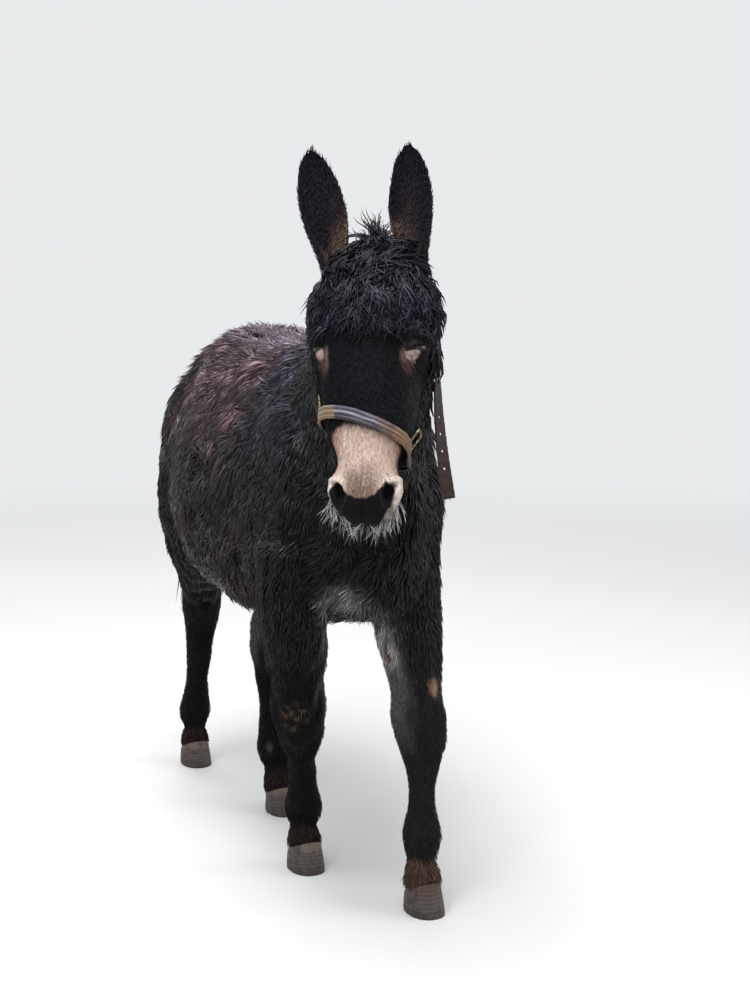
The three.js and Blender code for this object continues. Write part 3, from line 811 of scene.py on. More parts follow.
    def grow(self, name: str, shell: Shell, faces: Array, growth: Growth) -> Object:
        """Grows one piece of hair.

        Args:
            name: The piece's name.
            shell: The skin, with the coat's measures.
            faces: Numbers of the faces that it grows on.
            growth: How it grows there.

        Returns:
            The piece, as a plain mesh.
        """
        patch = shell.to_mesh(name + "_bed", faces)
        bed = Shell.of_mesh(patch)
        layer = patch.attributes.new("root_place", "FLOAT2", "CORNER")
        layer.data.foreach_set("vector", box_places(bed.points, bed.faces).astype(np.float32).reshape(-1))
        holder = link(name + "_bed", patch)
        modifier = holder.modifiers.new("coat", "NODES")
        modifier.node_group = self.group
        values = growth.inputs()
        for item in self.group.interface.items_tree:
            if item.in_out == "INPUT" and item.name in values:
                modifier[item.identifier] = values[item.name]
        mesh = evaluated(holder)
        mesh.name = name
        for spare in ("fur_density", "fur_stand", "fur_width", "fur_length", "fur_lift", "flow", "root_place"):
            if spare in mesh.attributes:
                mesh.attributes.remove(mesh.attributes[spare])
        return link(name, mesh)


def box_places(points: Array, faces: Array) -> Array:
    """Unwraps a patch of skin onto six tiles, one for each way that its faces look.

    Args:
        points: The patch's points.
        faces: Its triangles.

    Returns:
        A place for each corner of each triangle, within the unit square.
    """
    margin, tile_size = 0.01, np.array([0.31, 0.48])
    corners = points[faces]
    flat = np.cross(corners[:, 1] - corners[:, 0], corners[:, 2] - corners[:, 0])
    axis = np.abs(flat).argmax(axis=1)
    side = (flat[np.arange(len(flat)), axis] > 0).astype(int)
    low, reach = points.min(axis=0), np.maximum(np.ptp(points, axis=0), 1e-6)
    share = (corners - low) / reach
    result = np.zeros((len(faces), 3, 2))
    for k, across in enumerate(((1, 2), (0, 2), (0, 1))):
        for s in range(2):
            mine = (axis == k) & (side == s)
            tile = np.array([k / 3 + margin, s / 2 + margin])
            result[mine] = tile + share[mine][:, :, list(across)] * tile_size
    return result


@dataclass(frozen=True)
class FurStyle:
    """How the coat grows on one part: sizes in metres, stand in radians, count per square metre over 1000."""

    depth: float
    length: float
    width: float
    lift: float
    stand: float
    density: float


FUR = {
    "trunk": FurStyle(0.0125, 0.044, 0.0030, 0.0105, 0.02, 46.0),
    "neck": FurStyle(0.0125, 0.042, 0.0030, 0.0105, 0.02, 46.0),
    "head": FurStyle(0.0040, 0.010, 0.0014, 0.0026, 0.0, 46.0),
    "leg": FurStyle(0.0035, 0.012, 0.0018, 0.0030, 0.0, 30.0),
    "tail_dock": FurStyle(0.0095, 0.040, 0.0032, 0.0085, 0.05, 44.0),
    "ear": FurStyle(0.0028, 0.011, 0.0017, 0.0030, 0.0, 46.0),
}
PART = {name: number for number, name in enumerate(FUR)}


@dataclass
class Hide:
    """The one skin that stands for every node of flesh, with the coat's lie, sizes and markings on it.

    Its weights say how much each point belongs to each part of FUR, and its style is a row of blended FurStyle values.
    """

    nodes: dict[str, Object]
    grain: float = 0.0088
    ear_grain: float = 0.0042
    swell: float = 0.0012
    eye_radius: float = 0.021
    eye_centre: Place = (0.080, -0.043, -0.200)
    gaze: Place = (0.66, -0.75, 0.0)
    lid_half_angle: float = 0.72
    lid_drop: float = 0.36
    lid_thickness: float = 0.0032
    nostril_depth: float = 0.015
    rim_height: float = 0.0026
    crease_gap: float = 0.0052
    shell: Shell = field(init=False)
    label: Array = field(init=False)
    weights: Array = field(init=False)
    style: Array = field(init=False)
    lid_edge: Array = field(init=False)
    nostril: Array = field(init=False)
    creases: Array = field(init=False)
    clumps_and_painted_light: Array = field(init=False)
    fringe: Array = field(init=False)

    def build(self) -> Object:
        """Makes the skin from the solids, sculpts the head and writes what the coat grows by.

        Returns:
            The skin's object.
        """
        main = fused(Shell.of_nodes(ONE_SKIN, self.nodes, self.swell), self.grain)
        refine(main, self.on_head)
        refine(main, self.on_features)
        self.shell = triangulated(main)
        body_points = len(self.shell.points)
        self.shell.points = self.shell.smoothed(self.shell.points, 4)
        for ear in EARS:
            cup = triangulated(fused(Shell.of_nodes([ear], self.nodes), self.ear_grain))
            cup.points = cup.smoothed(cup.points, 3)
            self.shell = self.shell.joined(cup)
        self.label = self.parts(body_points)
        self.weights = self.shell.smoothed(np.eye(len(FUR))[self.label], 14)
        self.style = self.weights @ np.array([astuple(fur) for fur in FUR.values()])
        self.sink()
        self.shape_legs()
        self.open_eyes()
        self.carve_muzzle()
        self.comb()
        return link("skin", self.shell.to_mesh("skin"))

    def sink(self) -> None:
        """Sinks the skin by the coat's depth, so that skin and coat together keep the solids' outline."""
        normals = self.shell.smoothed(self.shell.normals(), 3)
        lid = self.near_eyes(self.shell.points, 0.030, 0.044)
        x, _, z = HEAD.local(self.shell.points).T
        crown = self.weights[:, PART["head"]] * ramp(-0.190, -0.150, z)
        depth = self.style[:, 0] + crown * (0.006 + 0.005 * ramp(0.045, 0.085, np.abs(x)))
        self.shell.moved(normals, -depth * (1 - lid) * ramp(0.060, 0.085, self.shell.points[:, 2]))
        self.shell.points = self.shell.smoothed(self.shell.points, 2)

    def shape_legs(self) -> None:
        """Fills out the knees and fetlocks and draws in the cannons and pasterns."""
        points, leg = self.shell.points, self.weights[:, PART["leg"]]
        z = points[:, 2]
        fore = ramp(0.02, -0.02, points[:, 1])
        normals = self.shell.smoothed(self.shell.normals(), 4)
        knee, fetlock, cannon, pastern = np.where(fore > 0.5, 0.385, 0.43), 0.150, 0.250, 0.104
        bulge = 0.0062 * bell(z, knee, 0.036) + 0.0042 * bell(z, fetlock, 0.022)
        bulge -= 0.0034 * bell(z, cannon, 0.050) + 0.0040 * bell(z, pastern, 0.014)
        sinew = 0.0022 * ripple(points * (1.0, 1.0, 0.25), 0.020, 46) * ramp(0.16, 0.24, z)
        self.shell.moved(normals, leg * (bulge + sinew) * ramp(0.07, 0.09, z))

    def on_head(self, points: Array) -> Array:
        """Tells the head's places from the others.

        Args:
            points: Places, one per row.

        Returns:
            Whether each is on the head.
        """
        x, y, z = HEAD.local(points).T
        low_jaw = 0.13 - 0.25 * np.maximum(z + 0.1, 0)
        return (z < 0.045) & (z > -0.54) & (np.abs(x) < 0.15) & (y < low_jaw) & (y > -0.13)

    def on_features(self, points: Array) -> Array:
        """Whether places are by the eyes or on the end of the muzzle."""
        muzzle = HEAD.local(points)[:, 2] < -0.405
        return (self.near_eyes(points, 0.034, 0.036) > 0.5) | (self.on_head(points) & muzzle)

    def near_eyes(self, points: Array, close: float, far: float) -> Array:
        """Says how near places are to the eyes.

        Args:
            points: Places, one per row.
            close: Up to this distance from either eye's centre the answer is one.
            far: From this distance on it is zero.

        Returns:
            One value per place.
        """
        local = HEAD.local(points)
        local[:, 0] = np.abs(local[:, 0])
        return ramp(far, close, np.linalg.norm(local - np.array(self.eye_centre), axis=1))

    def ahead(self, side: int) -> Array:
        """Where the left (1) or right (-1) eye looks, in the head's frame, as one row."""
        return unit(np.array([self.gaze]) * (side, 1, 1))

    def parts(self, body_points: int) -> Array:
        """Finds the part of the body that each point is on.

        Args:
            body_points: How many points come before the ears' own.

        Returns:
            The part's number in FUR, for each point.
        """
        kinds = {**dict.fromkeys(LEGS, "leg"), **dict.fromkeys(EYES, "head")}
        owner = np.concatenate([np.full(len(Shell.of_nodes([name], self.nodes).faces), PART[kinds.get(name, name)])
                                for name in ONE_SKIN])
        tree = Shell.of_nodes(ONE_SKIN, self.nodes).search_tree()
        label = np.full(len(self.shell.points), PART["ear"])
        label[:body_points] = [owner[tree.find_nearest(p)[2]] for p in self.shell.points[:body_points].tolist()]
        return label

    def open_eyes(self) -> None:
        """Opens a narrow almond between heavy lids over each eyeball, with a fold above it."""
        self.lid_edge = np.zeros(len(self.shell.points))
        for side in (-1, 1):
            centre = np.array(self.eye_centre) * (side, 1, 1)
            ahead = self.ahead(side)[0]
            across = np.cross((0, 0, 1), ahead) * side
            away = HEAD.local(self.shell.points) - centre
            reach = np.linalg.norm(away, axis=1)
            heading = unit(away)
            mine = (reach < 0.052) & (heading @ ahead > 0.15)
            yaw = np.arctan2(heading @ across, heading @ ahead)
            tilt = np.arcsin(np.clip(heading[:, 2], -1, 1)) - 0.10 * yaw
            bow = np.clip(1 - (yaw / self.lid_half_angle) ** 2, 0, 1)
            beyond = np.abs(yaw) - self.lid_half_angle
            gap = np.where(beyond < 0, np.minimum(-tilt, tilt + self.lid_drop * bow), -np.hypot(beyond, tilt))
            fold = 0.0009 * ramp(0.10, 0.0, np.abs(gap + 0.24)) * (tilt > 0)
            lid = self.eye_radius + self.lid_thickness - fold
            self.lid_edge = np.maximum(self.lid_edge, np.where(mine, bell(gap, -0.03, 0.07), 0))
            surface = mix(lid, np.maximum(reach, lid), ramp(0.30, 0.85, -gap))
            surface = mix(surface, self.eye_radius - 0.004, ramp(-0.04, 0.10, gap))
            target = centre + heading * surface[:, None]
            target[:, 1] += 0.0006
            self.shell.points = np.where(mine[:, None], HEAD.world(target), self.shell.points)

    def carve_muzzle(self) -> None:
        """Sinks the nostrils, raises their rims, and draws the line of the mouth and the creases over the nose."""
        local = HEAD.local(self.shell.points)
        normals = HEAD.turned_back(self.shell.normals())
        x, y, z = local.T
        front = ramp(0.0, -0.02, y) * ramp(-0.40, -0.42, z)
        self.nostril = np.full(len(x), 9.0)
        for side in (-1, 1):
            dx, dz = side * x - 0.046, z + 0.457
            long, wide = -0.42 * dx - 0.91 * dz, 0.91 * dx - 0.42 * dz
            ring = np.hypot(long / 0.021, (wide - 11.0 * long**2 + 0.001) / 0.0105)
            near = front * (side * x > 0.004)
            self.nostril = np.minimum(self.nostril, np.where(near > 0.3, ring, 9.0))
            hollow = ramp(1.10, 0.30, ring) * near
            rim = bell(ring, 1.40, 0.30) * near
            local += np.array([-0.40 * side, 0.9, 0.20]) * (self.nostril_depth * hollow)[:, None]
            local += normals * (self.rim_height * rim * ramp(-0.02, 0.012, wide))[:, None]
        dip = 0.0035 * bell(x, 0.0, 0.006) * front * ramp(-0.462, -0.475, z)
        mouth = 0.005 * bell(y, 0.012 + 0.16 * (z + 0.505), 0.0045) * ramp(-0.385, -0.42, z)
        local -= normals * (dip + mouth)[:, None]
        self.creases = self.nose_creases(local)
        local -= normals * (0.0011 * self.creases)[:, None]
        self.shell.points = HEAD.world(local)

    def nose_creases(self, local: Array) -> Array:
        """Draws short level folds beside the nose's middle line, and fine hatching below them.

        Args:
            local: Places in the head's frame.

        Returns:
            How deep the skin is creased at each, from 0 to 1.
        """
        x, y, z = local.T
        across = np.abs(x - NOSE_LINE)
        bent = z + 0.35 * across + 0.0016 * ripple(local, 0.016, 5)
        level = ramp(0.55, 1.0, np.cos(bent * 2 * math.pi / self.crease_gap)) * ramp(0.034, 0.020, across)
        level *= ramp(-0.417, -0.424, z) * ramp(-0.450, -0.440, z) * ramp(-0.4, 0.6, ripple(local, 0.010, 6))
        middle = bell(x - NOSE_LINE + 0.001 * ripple(local, 0.02, 7), 0.0, 0.0011) * ramp(-0.360, -0.400, z)
        hatch = ramp(0.5, 1.6, ripple(local * (2.6, 1.0, 0.7), 0.0048, 8)) * ramp(0.030, 0.016, across)
        hatch *= ramp(-0.438, -0.448, z)
        deepest = np.maximum.reduce([level, 0.8 * middle, 0.6 * hatch])
        return deepest * ramp(-0.476, -0.470, z) * ramp(-0.035, -0.05, y)

    def comb(self) -> None:
        """Writes the coat's flow, sizes, density and colours at each point; the colours are lightened on raised clumps
        and darkened between them, as painted light and shade.
        """
        self.shell.measures["flow"] = self.lie()
        self.size_locks()
        markings = Markings(self)
        markings.colour()
        # painted light and shade: raised clumps are lightened and the hollows between them darkened
        markings.tint *= np.exp(0.42 * self.clumps_and_painted_light)[:, None]
        markings.dry()

    def lie(self) -> Array:
        """Lays the coat back and down the body, down and outwards on the face and up the ears, a little ruffled.

        Returns:
            The direction of the hair at each point.
        """
        points = self.shell.points
        trunk, neck, head, leg, dock, ear = self.weights.T
        x, _, z = HEAD.local(points).T
        lie = trunk[:, None] * np.array([0.0, 0.50, -0.85]) + neck[:, None] * np.array([0.0, 0.34, -0.94])
        lie += leg[:, None] * np.array([0.0, 0.10, -1.0]) + dock[:, None] * np.array([-0.1, 0.25, -1.0])
        spread = 0.30 + 0.25 * ramp(-0.10, -0.16, z)
        down_face = np.stack([spread * np.clip(x / 0.1, -1, 1), 0.25 + 0 * x, -0.9 + 0 * x], axis=1)
        lie += head[:, None] * HEAD.turned(down_face)
        lie += ear[:, None] * HEAD.turned(np.tile([0.0, 0.15, 1.0], (len(points), 1)))
        ruffled = trunk + neck + 0.4 * leg + head * (0.35 + 0.75 * ramp(-0.19, -0.15, z))
        for size, strength, seed in ((0.095, 0.30, 11), (0.030, 0.40, 14)):
            lie += gusts(points, size, seed) * (strength * ruffled)[:, None]
        return along_skin(lie, self.shell.normals())

    def size_locks(self) -> None:
        """Writes how long, wide, high, steep and dense the locks are, with the fringe, cheeks, jaw and fetlocks."""
        points, upward = self.shell.points, self.shell.normals()[:, 2]
        trunk, neck, head, leg, _, _ = self.weights.T
        local = HEAD.local(points)
        x, y, z = local.T
        side, height = np.abs(x), points[:, 2]
        _, length, width, lift, stand, density = self.style.copy().T
        shaggy = 1 + 0.28 * ripple(points, 0.045, 41) * (trunk + neck)
        length, lift = length * shaggy, lift * shaggy
        # clumps lift the locks here; comb also paints them lighter, with painted shade between them
        self.clumps_and_painted_light = np.clip(ripple(points, 0.017, 42), -1.4, 1.4) * (trunk + neck)
        lift *= 1 + 0.30 * self.clumps_and_painted_light
        ragged = z + 0.06 * np.maximum(side - 0.05, 0) + 0.012 * ripple(local * (2.0, 1.0, 0.6), 0.020, 44)
        self.fringe = fringe = head * ramp(-0.176, -0.148, ragged) * ramp(0.060, 0.035, y)
        length = mix(length, 0.060 - 0.018 * ramp(-0.08, -0.15, z), fringe)
        width = mix(width, 0.0052, fringe)
        lift = mix(lift, 0.0115 - 0.004 * ramp(0.05, 0.10, side), fringe)
        density = mix(density, 72.0, fringe)
        wisps = np.clip(ripple(local * (2.0, 1.4, 0.6), 0.016, 43), -1.4, 1.4) * fringe
        lift *= 1 + 0.40 * wisps
        self.clumps_and_painted_light = self.clumps_and_painted_light * (1 - fringe) + 1.2 * wisps
        muzzle = head * ramp(-0.34, -0.37, z)
        length *= 1 - 0.5 * muzzle
        width *= 1 - 0.45 * muzzle
        lift *= 1 - 0.55 * muzzle
        nose = head * ramp(0.006, -0.006, side - 0.040) * ramp(-0.464, -0.470, z) * ramp(0.006, -0.006, y)
        sockets, nostrils = self.near_eyes(points, 0.0235, 0.027), ramp(1.6, 1.3, self.nostril)
        density *= 1 - np.maximum.reduce([sockets, nose, nostrils, self.lid_edge])
        jaw = head * ramp(0.00, 0.05, y) * ramp(-0.40, -0.34, z) * (1 - fringe)
        cheek = head * ramp(0.070, 0.092, side) * ramp(-0.10, -0.16, z) * ramp(-0.37, -0.30, z) * ramp(-0.012, 0.020, y)
        under = trunk * ramp(-0.2, -0.7, upward)
        high_leg = leg * ramp(0.42, 0.60, height)
        fetlock = leg * ramp(0.17, 0.12, height) * ramp(0.06, 0.09, height)
        coronet = leg * ramp(0.105, 0.085, height)
        for place, longer, wider, higher in (
            (jaw, 0.018, 0.0016, 0.008), (cheek, 0.026, 0.0012, 0.0090), (under, 0.012, 0.0, 0.0),
            (high_leg, 0.016, 0.0012, 0.004), (fetlock, 0.008, 0.0, 0.002), (coronet, 0.008, 0.0, 0.0004),
        ):
            length += longer * place
            width += wider * place
            lift += higher * place
        stand += 0.14 * cheek
        stand += 0.30 * trunk * ramp(0.75, 0.97, upward)
        density += 40.0 * coronet
        self.shell.measures.update({"fur_length": length, "fur_width": width, "fur_lift": lift, "fur_stand": stand,
                                    "fur_density": density * 1000})


class Markings(Paint):
    """The coat's colours, laid by places on the body and in the head's frame."""

    def __init__(self, hide: Hide) -> None:
        """Starts with a black coat.

        Args:
            hide: The skin that is coloured.
        """
        super().__init__(hide.shell, CoatTone.BLACK)
        self.points = hide.shell.points
        self.local = HEAD.local(self.points)
        self.normals = hide.shell.normals()
        self.lid_edge, self.nostril, self.creases = hide.lid_edge, hide.nostril, hide.creases
        self.trunk, self.neck, self.head, self.leg, dock, self.ear = hide.weights.T
        self.trunk = self.trunk + dock * ramp(0.72, 0.94, self.points[:, 2])
        self.patchy = ripple(self.points, 0.05, 31)

    def colour(self) -> None:
        """Colours every part of the coat."""
        self.body()
        self.legs()
        self.face()
        self.nose()
        self.muzzle_end()
        self.right_eye()
        self.left_eye()
        self.lay(FaceTone.LID_EDGE, 0.95 * self.lid_edge)
        self.ears()

    def body(self) -> None:
        """Colours the trunk and neck: brown along the back, black below, pale at the chest's foot, with a painted lilac
        highlight where the top of the back faces up.
        """
        trunk, patchy = self.trunk, self.patchy
        _, py, pz = self.points.T
        nz = self.normals[:, 2]
        high = trunk * ramp(0.84, 1.04, pz + 0.05 * patchy)
        saddle = ramp(-0.14, 0.04, py + 0.05 * patchy)
        rusty = ramp(0.0, 1.0, ripple(self.points, 0.07, 48))
        haunch = ramp(0.24, 0.42, py + 0.04 * patchy) * ramp(1.13, 1.05, pz)
        low = ramp(0.86, 0.72, pz + 0.04 * patchy) * ramp(-0.34, -0.10, py)
        belly = ramp(0.1, -0.7, nz) * ramp(0.66, 0.55, pz + 0.03 * patchy)
        self.lay(CoatTone.FLANK, 0.9 * trunk * ramp(-0.34, -0.10, py))
        self.lay(CoatTone.NECK, 0.7 * self.neck)
        self.lay(CoatTone.SHOULDER, 0.9 * high * ramp(-0.42, -0.20, py))
        self.lay(CoatTone.SADDLE, 0.9 * high * saddle)
        self.lay(CoatTone.SADDLE_RUST, 0.5 * high * ramp(-0.14, 0.04, py) * rusty)
        # painted highlight: lilac grey where the high back faces up
        self.lay(CoatTone.BACK, 0.7 * high * ramp(0.86, 0.97, nz) * ramp(-0.30, 0.0, py))
        self.lay(CoatTone.HAUNCH, 0.8 * trunk * haunch)
        self.lay(CoatTone.LOW_FLANK, 0.8 * trunk * low)
        self.lay(CoatTone.BROWN_PATCH, 0.6 * trunk * ramp(0.2, 1.0, patchy) * ramp(-0.2, 0.0, py))
        self.lay(CoatTone.BELLY, 0.85 * trunk * belly)
        self.lay(CoatTone.CHEST, 0.9 * trunk * blob(self.points, (-0.100, -0.41, 0.640), (0.048, 0.07, 0.034), 1.0))

    def legs(self) -> None:
        """Colours the legs: black, grey inside the thighs and forearms, brown at the coronets, with a few spots."""
        leg, points = self.leg, self.points
        px, py, pz = points.T
        nx = self.normals[:, 0]
        inner = leg * ramp(0.30, 0.42, pz) * ramp(0.72, 0.62, pz)
        streaks = ramp(-0.6, 0.5, ripple(points * (2.0, 1.0, 0.35), 0.020, 49))
        streaked = ramp(-0.03, -0.01, px) * ramp(-0.2, -0.3, py) * ramp(0.70, 0.95, -nx) * ramp(0.45, 0.51, pz)
        rubbed = ramp(0.1, 0.9, ripple(points, 0.006, 35))
        self.lay(CoatTone.LEG, 0.7 * leg * np.maximum(ramp(0.01, -0.02, px), ramp(-0.2, -0.1, py)))
        self.lay(CoatTone.LEFT_FORELEG, 0.7 * leg * ramp(-0.02, 0.01, px) * ramp(-0.1, -0.2, py))
        self.lay(CoatTone.INNER_LEG, 0.75 * inner * ramp(0.35, 0.90, np.where(px > -0.03, -nx, nx)))
        self.lay(CoatTone.INNER_STREAK, 0.9 * inner * streaked * streaks)
        self.lay(CoatTone.RUSTY_SPOT, 0.9 * blob(points, (0.007, -0.361, 0.510), (0.016, 0.016, 0.012), 0.8))
        self.lay(CoatTone.WORN_SPOT, 0.9 * blob(points, (0.086, -0.420, 0.450), (0.014, 0.018, 0.018), 0.8))
        self.lay(CoatTone.KNEE_SCUFF, 0.8 * blob(points, (-0.155, -0.257, 0.372), (0.028, 0.03, 0.030), 1.0) * rubbed)
        self.lay(CoatTone.FETLOCK_SPOT, 0.6 * blob(points, (0.0, 0.285, 0.155), (0.006, 0.012, 0.012), 0.8))
        brown = leg * ramp(0.115, 0.090, pz + 0.006 * ripple(points, 0.010, 47))
        self.lay(CoatTone.CORONET, 0.85 * brown)
        self.lay(CoatTone.LEFT_CORONET, 0.8 * brown * ramp(-0.02, 0.01, px) * ramp(-0.3, -0.36, py))

    def face(self) -> None:
        """Colours the face black, with a bluish painted sheen over the fringe, a dark crown and a grey painted sheen on
        the left cheek.
        """
        head = self.head
        x, _, z = self.local.T
        self.lay(FaceTone.FACE, 0.9 * head * ramp(0.0, -0.15, z))
        # painted sheen: bluish grey over the fringe in place of its highlights
        self.lay(FaceTone.FRINGE, 0.8 * head * ramp(-0.17, -0.13, z))
        self.lay(FaceTone.CROWN, 0.85 * head * ramp(-0.12, -0.04, z))
        # painted sheen: grey on the left cheek
        self.lay(FaceTone.CHEEK, 0.6 * head * ramp(0.055, 0.085, x) * ramp(-0.22, -0.28, z))

    def nose(self) -> None:
        """Colours the pale nose, from its arched upper edge to the nostrils, with painted shade in its creases."""
        x, y, z = self.local.T
        side, middle = np.abs(x), np.abs(x - NOSE_LINE)
        rough = ripple(self.local, 0.007, 36)
        fine = ripple(self.local * (2.2, 1.0, 0.5), 0.004, 37)
        front = ramp(-0.010, -0.036, y + 0.3 * np.maximum(side - 0.045, 0))
        arch = 14 * np.maximum(middle - 0.022, 0) ** 2
        cream = self.head * ramp(0.0, -0.012, z + 0.338 + 0.16 * x + arch + 0.0015 * rough) * front
        cheek = ramp(-0.30, -0.36, z) * ramp(-0.415, -0.375, z) * ramp(0.030, 0.052, side)
        pink = ramp(0.3, 1.2, ripple(self.local, 0.011, 38)) * ramp(0.034, 0.056, side) * ramp(-0.43, -0.40, z)
        shade = ramp(-0.395, -0.455, z + 0.002 * rough) * ramp(0.036, 0.016, middle)
        for tone, mask in (
            (FaceTone.NOSE_EDGE, ramp(0.066, 0.058, side)),
            (FaceTone.NOSE, ramp(0.060, 0.046, side + 0.004 * self.patchy)),
            (FaceTone.NOSE_SIDE, 0.6 * cheek),
            (FaceTone.NOSE_PALE, 0.9 * ramp(-0.420, -0.440, z) * ramp(0.026, 0.046, side)),
            (FaceTone.NOSE_MIDDLE, 0.7 * ramp(-0.430, -0.462, z) * ramp(0.026, 0.008, middle)),
            (FaceTone.NOSE_SHADE, 0.8 * shade),
            (FaceTone.NOSE_STREAK, 0.55 * ramp(0.4, 1.6, fine) * ramp(-0.360, -0.400, z)),
            (FaceTone.NOSE_HAIR, 0.35 * ramp(0.4, 1.6, -fine)),
            # painted shade in the carved creases
            (FaceTone.CREASE, 0.75 * self.creases),
            (FaceTone.PINK, 0.6 * pink),
        ):
            self.lay(tone, cream * mask)

    def muzzle_end(self) -> None:
        """Colours the dark shield round the nostrils, the pale sides, the lips and the chin, with painted shade in the
        nostril hollows.
        """
        head = self.head
        x, y, z = self.local.T
        rough = ripple(self.local, 0.007, 36)
        middle = np.abs(x - NOSE_LINE)
        end = head * ramp(-0.425, -0.437, z)
        top = np.interp(middle, (0, 0.015, 0.025, 0.031, 0.037, 0.044, 0.052, 0.066),
                        (-0.4705, -0.4685, -0.462, -0.455, -0.446, -0.4405, -0.445, -0.470))
        half = np.interp(-z, (0.440, 0.455, 0.470, 0.482, 0.497, 0.512), (0.061, 0.059, 0.056, 0.050, 0.037, 0.027))
        shield = ramp(0.002, -0.002, z - top + 0.0012 * rough) * ramp(0.0025, -0.0025, middle - half + 0.0012 * rough)
        lip_line = bell(z + 0.4955 + 0.2 * (middle - 0.045), 0.0, 0.006) * ramp(0.030, 0.042, middle)
        rim = ramp(1.25, 1.4, self.nostril) * ramp(1.7, 1.5, self.nostril)
        chin = head * ramp(-0.42, -0.45, z) * ramp(-0.002, 0.012, y)
        self.lay(FaceTone.MUZZLE_SIDE, 0.9 * end * ramp(0.046, 0.056, np.abs(x)) * ramp(0.016, -0.006, y))
        self.lay(FaceTone.LIP, 0.85 * end * ramp(-0.476, -0.490, z + 0.003 * rough))
        self.lay(FaceTone.LIP_LINE, 0.8 * end * lip_line)
        self.lay(FaceTone.SHIELD, shield * end * ramp(0.012, 0.000, y))
        # painted shade: near black inside the nostril hollows
        self.lay(FaceTone.NOSTRIL, 0.9 * end * ramp(0.95, 0.6, self.nostril))
        self.lay(FaceTone.NOSTRIL_RIM, 0.5 * end * shield * rim)
        self.lay(FaceTone.CHIN, 0.85 * chin * ramp(-1.4, 0.2, rough))
        self.lay(FaceTone.CHIN_MIDDLE, 0.8 * head * ramp(-0.495, -0.505, z) * ramp(0.034, 0.020, middle))

    def right_eye(self) -> None:
        """Colours the bare brown skin and the pale lid of the right eye."""
        right = self.local * np.array([-1, 1, 1])
        for tone, strength, centre, radii, edge in (
            (FaceTone.RIGHT_SOCKET, 0.85, (0.079, -0.055, -0.226), (0.010, 0.022, 0.022), 0.9),
            (FaceTone.RIGHT_LID, 0.6, (0.0725, -0.058, -0.219), (0.003, 0.020, 0.018), 0.9),
            (FaceTone.RIGHT_LID_PALE, 0.9, (0.085, -0.059, -0.213), (0.007, 0.016, 0.009), 0.8),
        ):
            self.lay(tone, strength * self.head * blob(right, centre, radii, edge))

    def left_eye(self) -> None:
        """Colours the brow, the inner corner and the pale upper lid of the left eye."""
        for tone, strength, centre, radii in (
            (FaceTone.LEFT_BROW, 0.7, (0.070, -0.066, -0.196), (0.016, 0.018, 0.007)),
            (FaceTone.LEFT_CORNER, 0.85, (0.0622, -0.066, -0.2185), (0.0052, 0.016, 0.016)),
            (FaceTone.LEFT_SOCKET, 0.85, (0.070, -0.058, -0.233), (0.009, 0.016, 0.013)),
        ):
            self.lay(tone, strength * self.head * blob(self.local, centre, radii, 0.9))
        x, y, z = self.local.T
        over = np.interp(x, (0.066, 0.086, 0.094), (-0.2105, -0.2085, -0.2000))
        under = np.interp(x, (0.064, 0.074, 0.088, 0.095), (-0.219, -0.2275, -0.2190, -0.2020))
        lid = ramp(-0.0012, 0.0016, over - z) * ramp(-0.0012, 0.0025, z - under)
        lid *= ramp(0.063, 0.068, x) * ramp(-0.035, -0.045, y)
        speckled = ramp(0.0, 1.0, ripple(self.local * (1.5, 1.0, 0.7), 0.0045, 39))
        self.lay(FaceTone.LEFT_LID, 0.95 * self.head * lid)
        self.lay(FaceTone.LEFT_LID_BROWN, 0.6 * self.head * lid * speckled)

    def ears(self) -> None:
        """Colours the ears dark, with tan hair at the foot of each cup."""
        self.lay(CoatTone.EAR, 0.85 * self.ear)
        cup = self.ear * ramp(0.0, -0.35, HEAD.turned_back(self.normals)[:, 1])
        for side, foot in ((-1, (-0.066, -0.004, 0.016)), (1, (0.044, -0.016, 0.022))):
            inside = (foot[0] + 0.012 * side, 0.0, 0.07)
            self.lay(CoatTone.EAR_FOOT, 0.9 * cup * blob(self.local, foot, (0.028, 0.044, 0.050), 1.0))
            self.lay(CoatTone.EAR_CUP, 0.5 * cup * blob(self.local, inside, (0.018, 0.05, 0.06), 1.0))


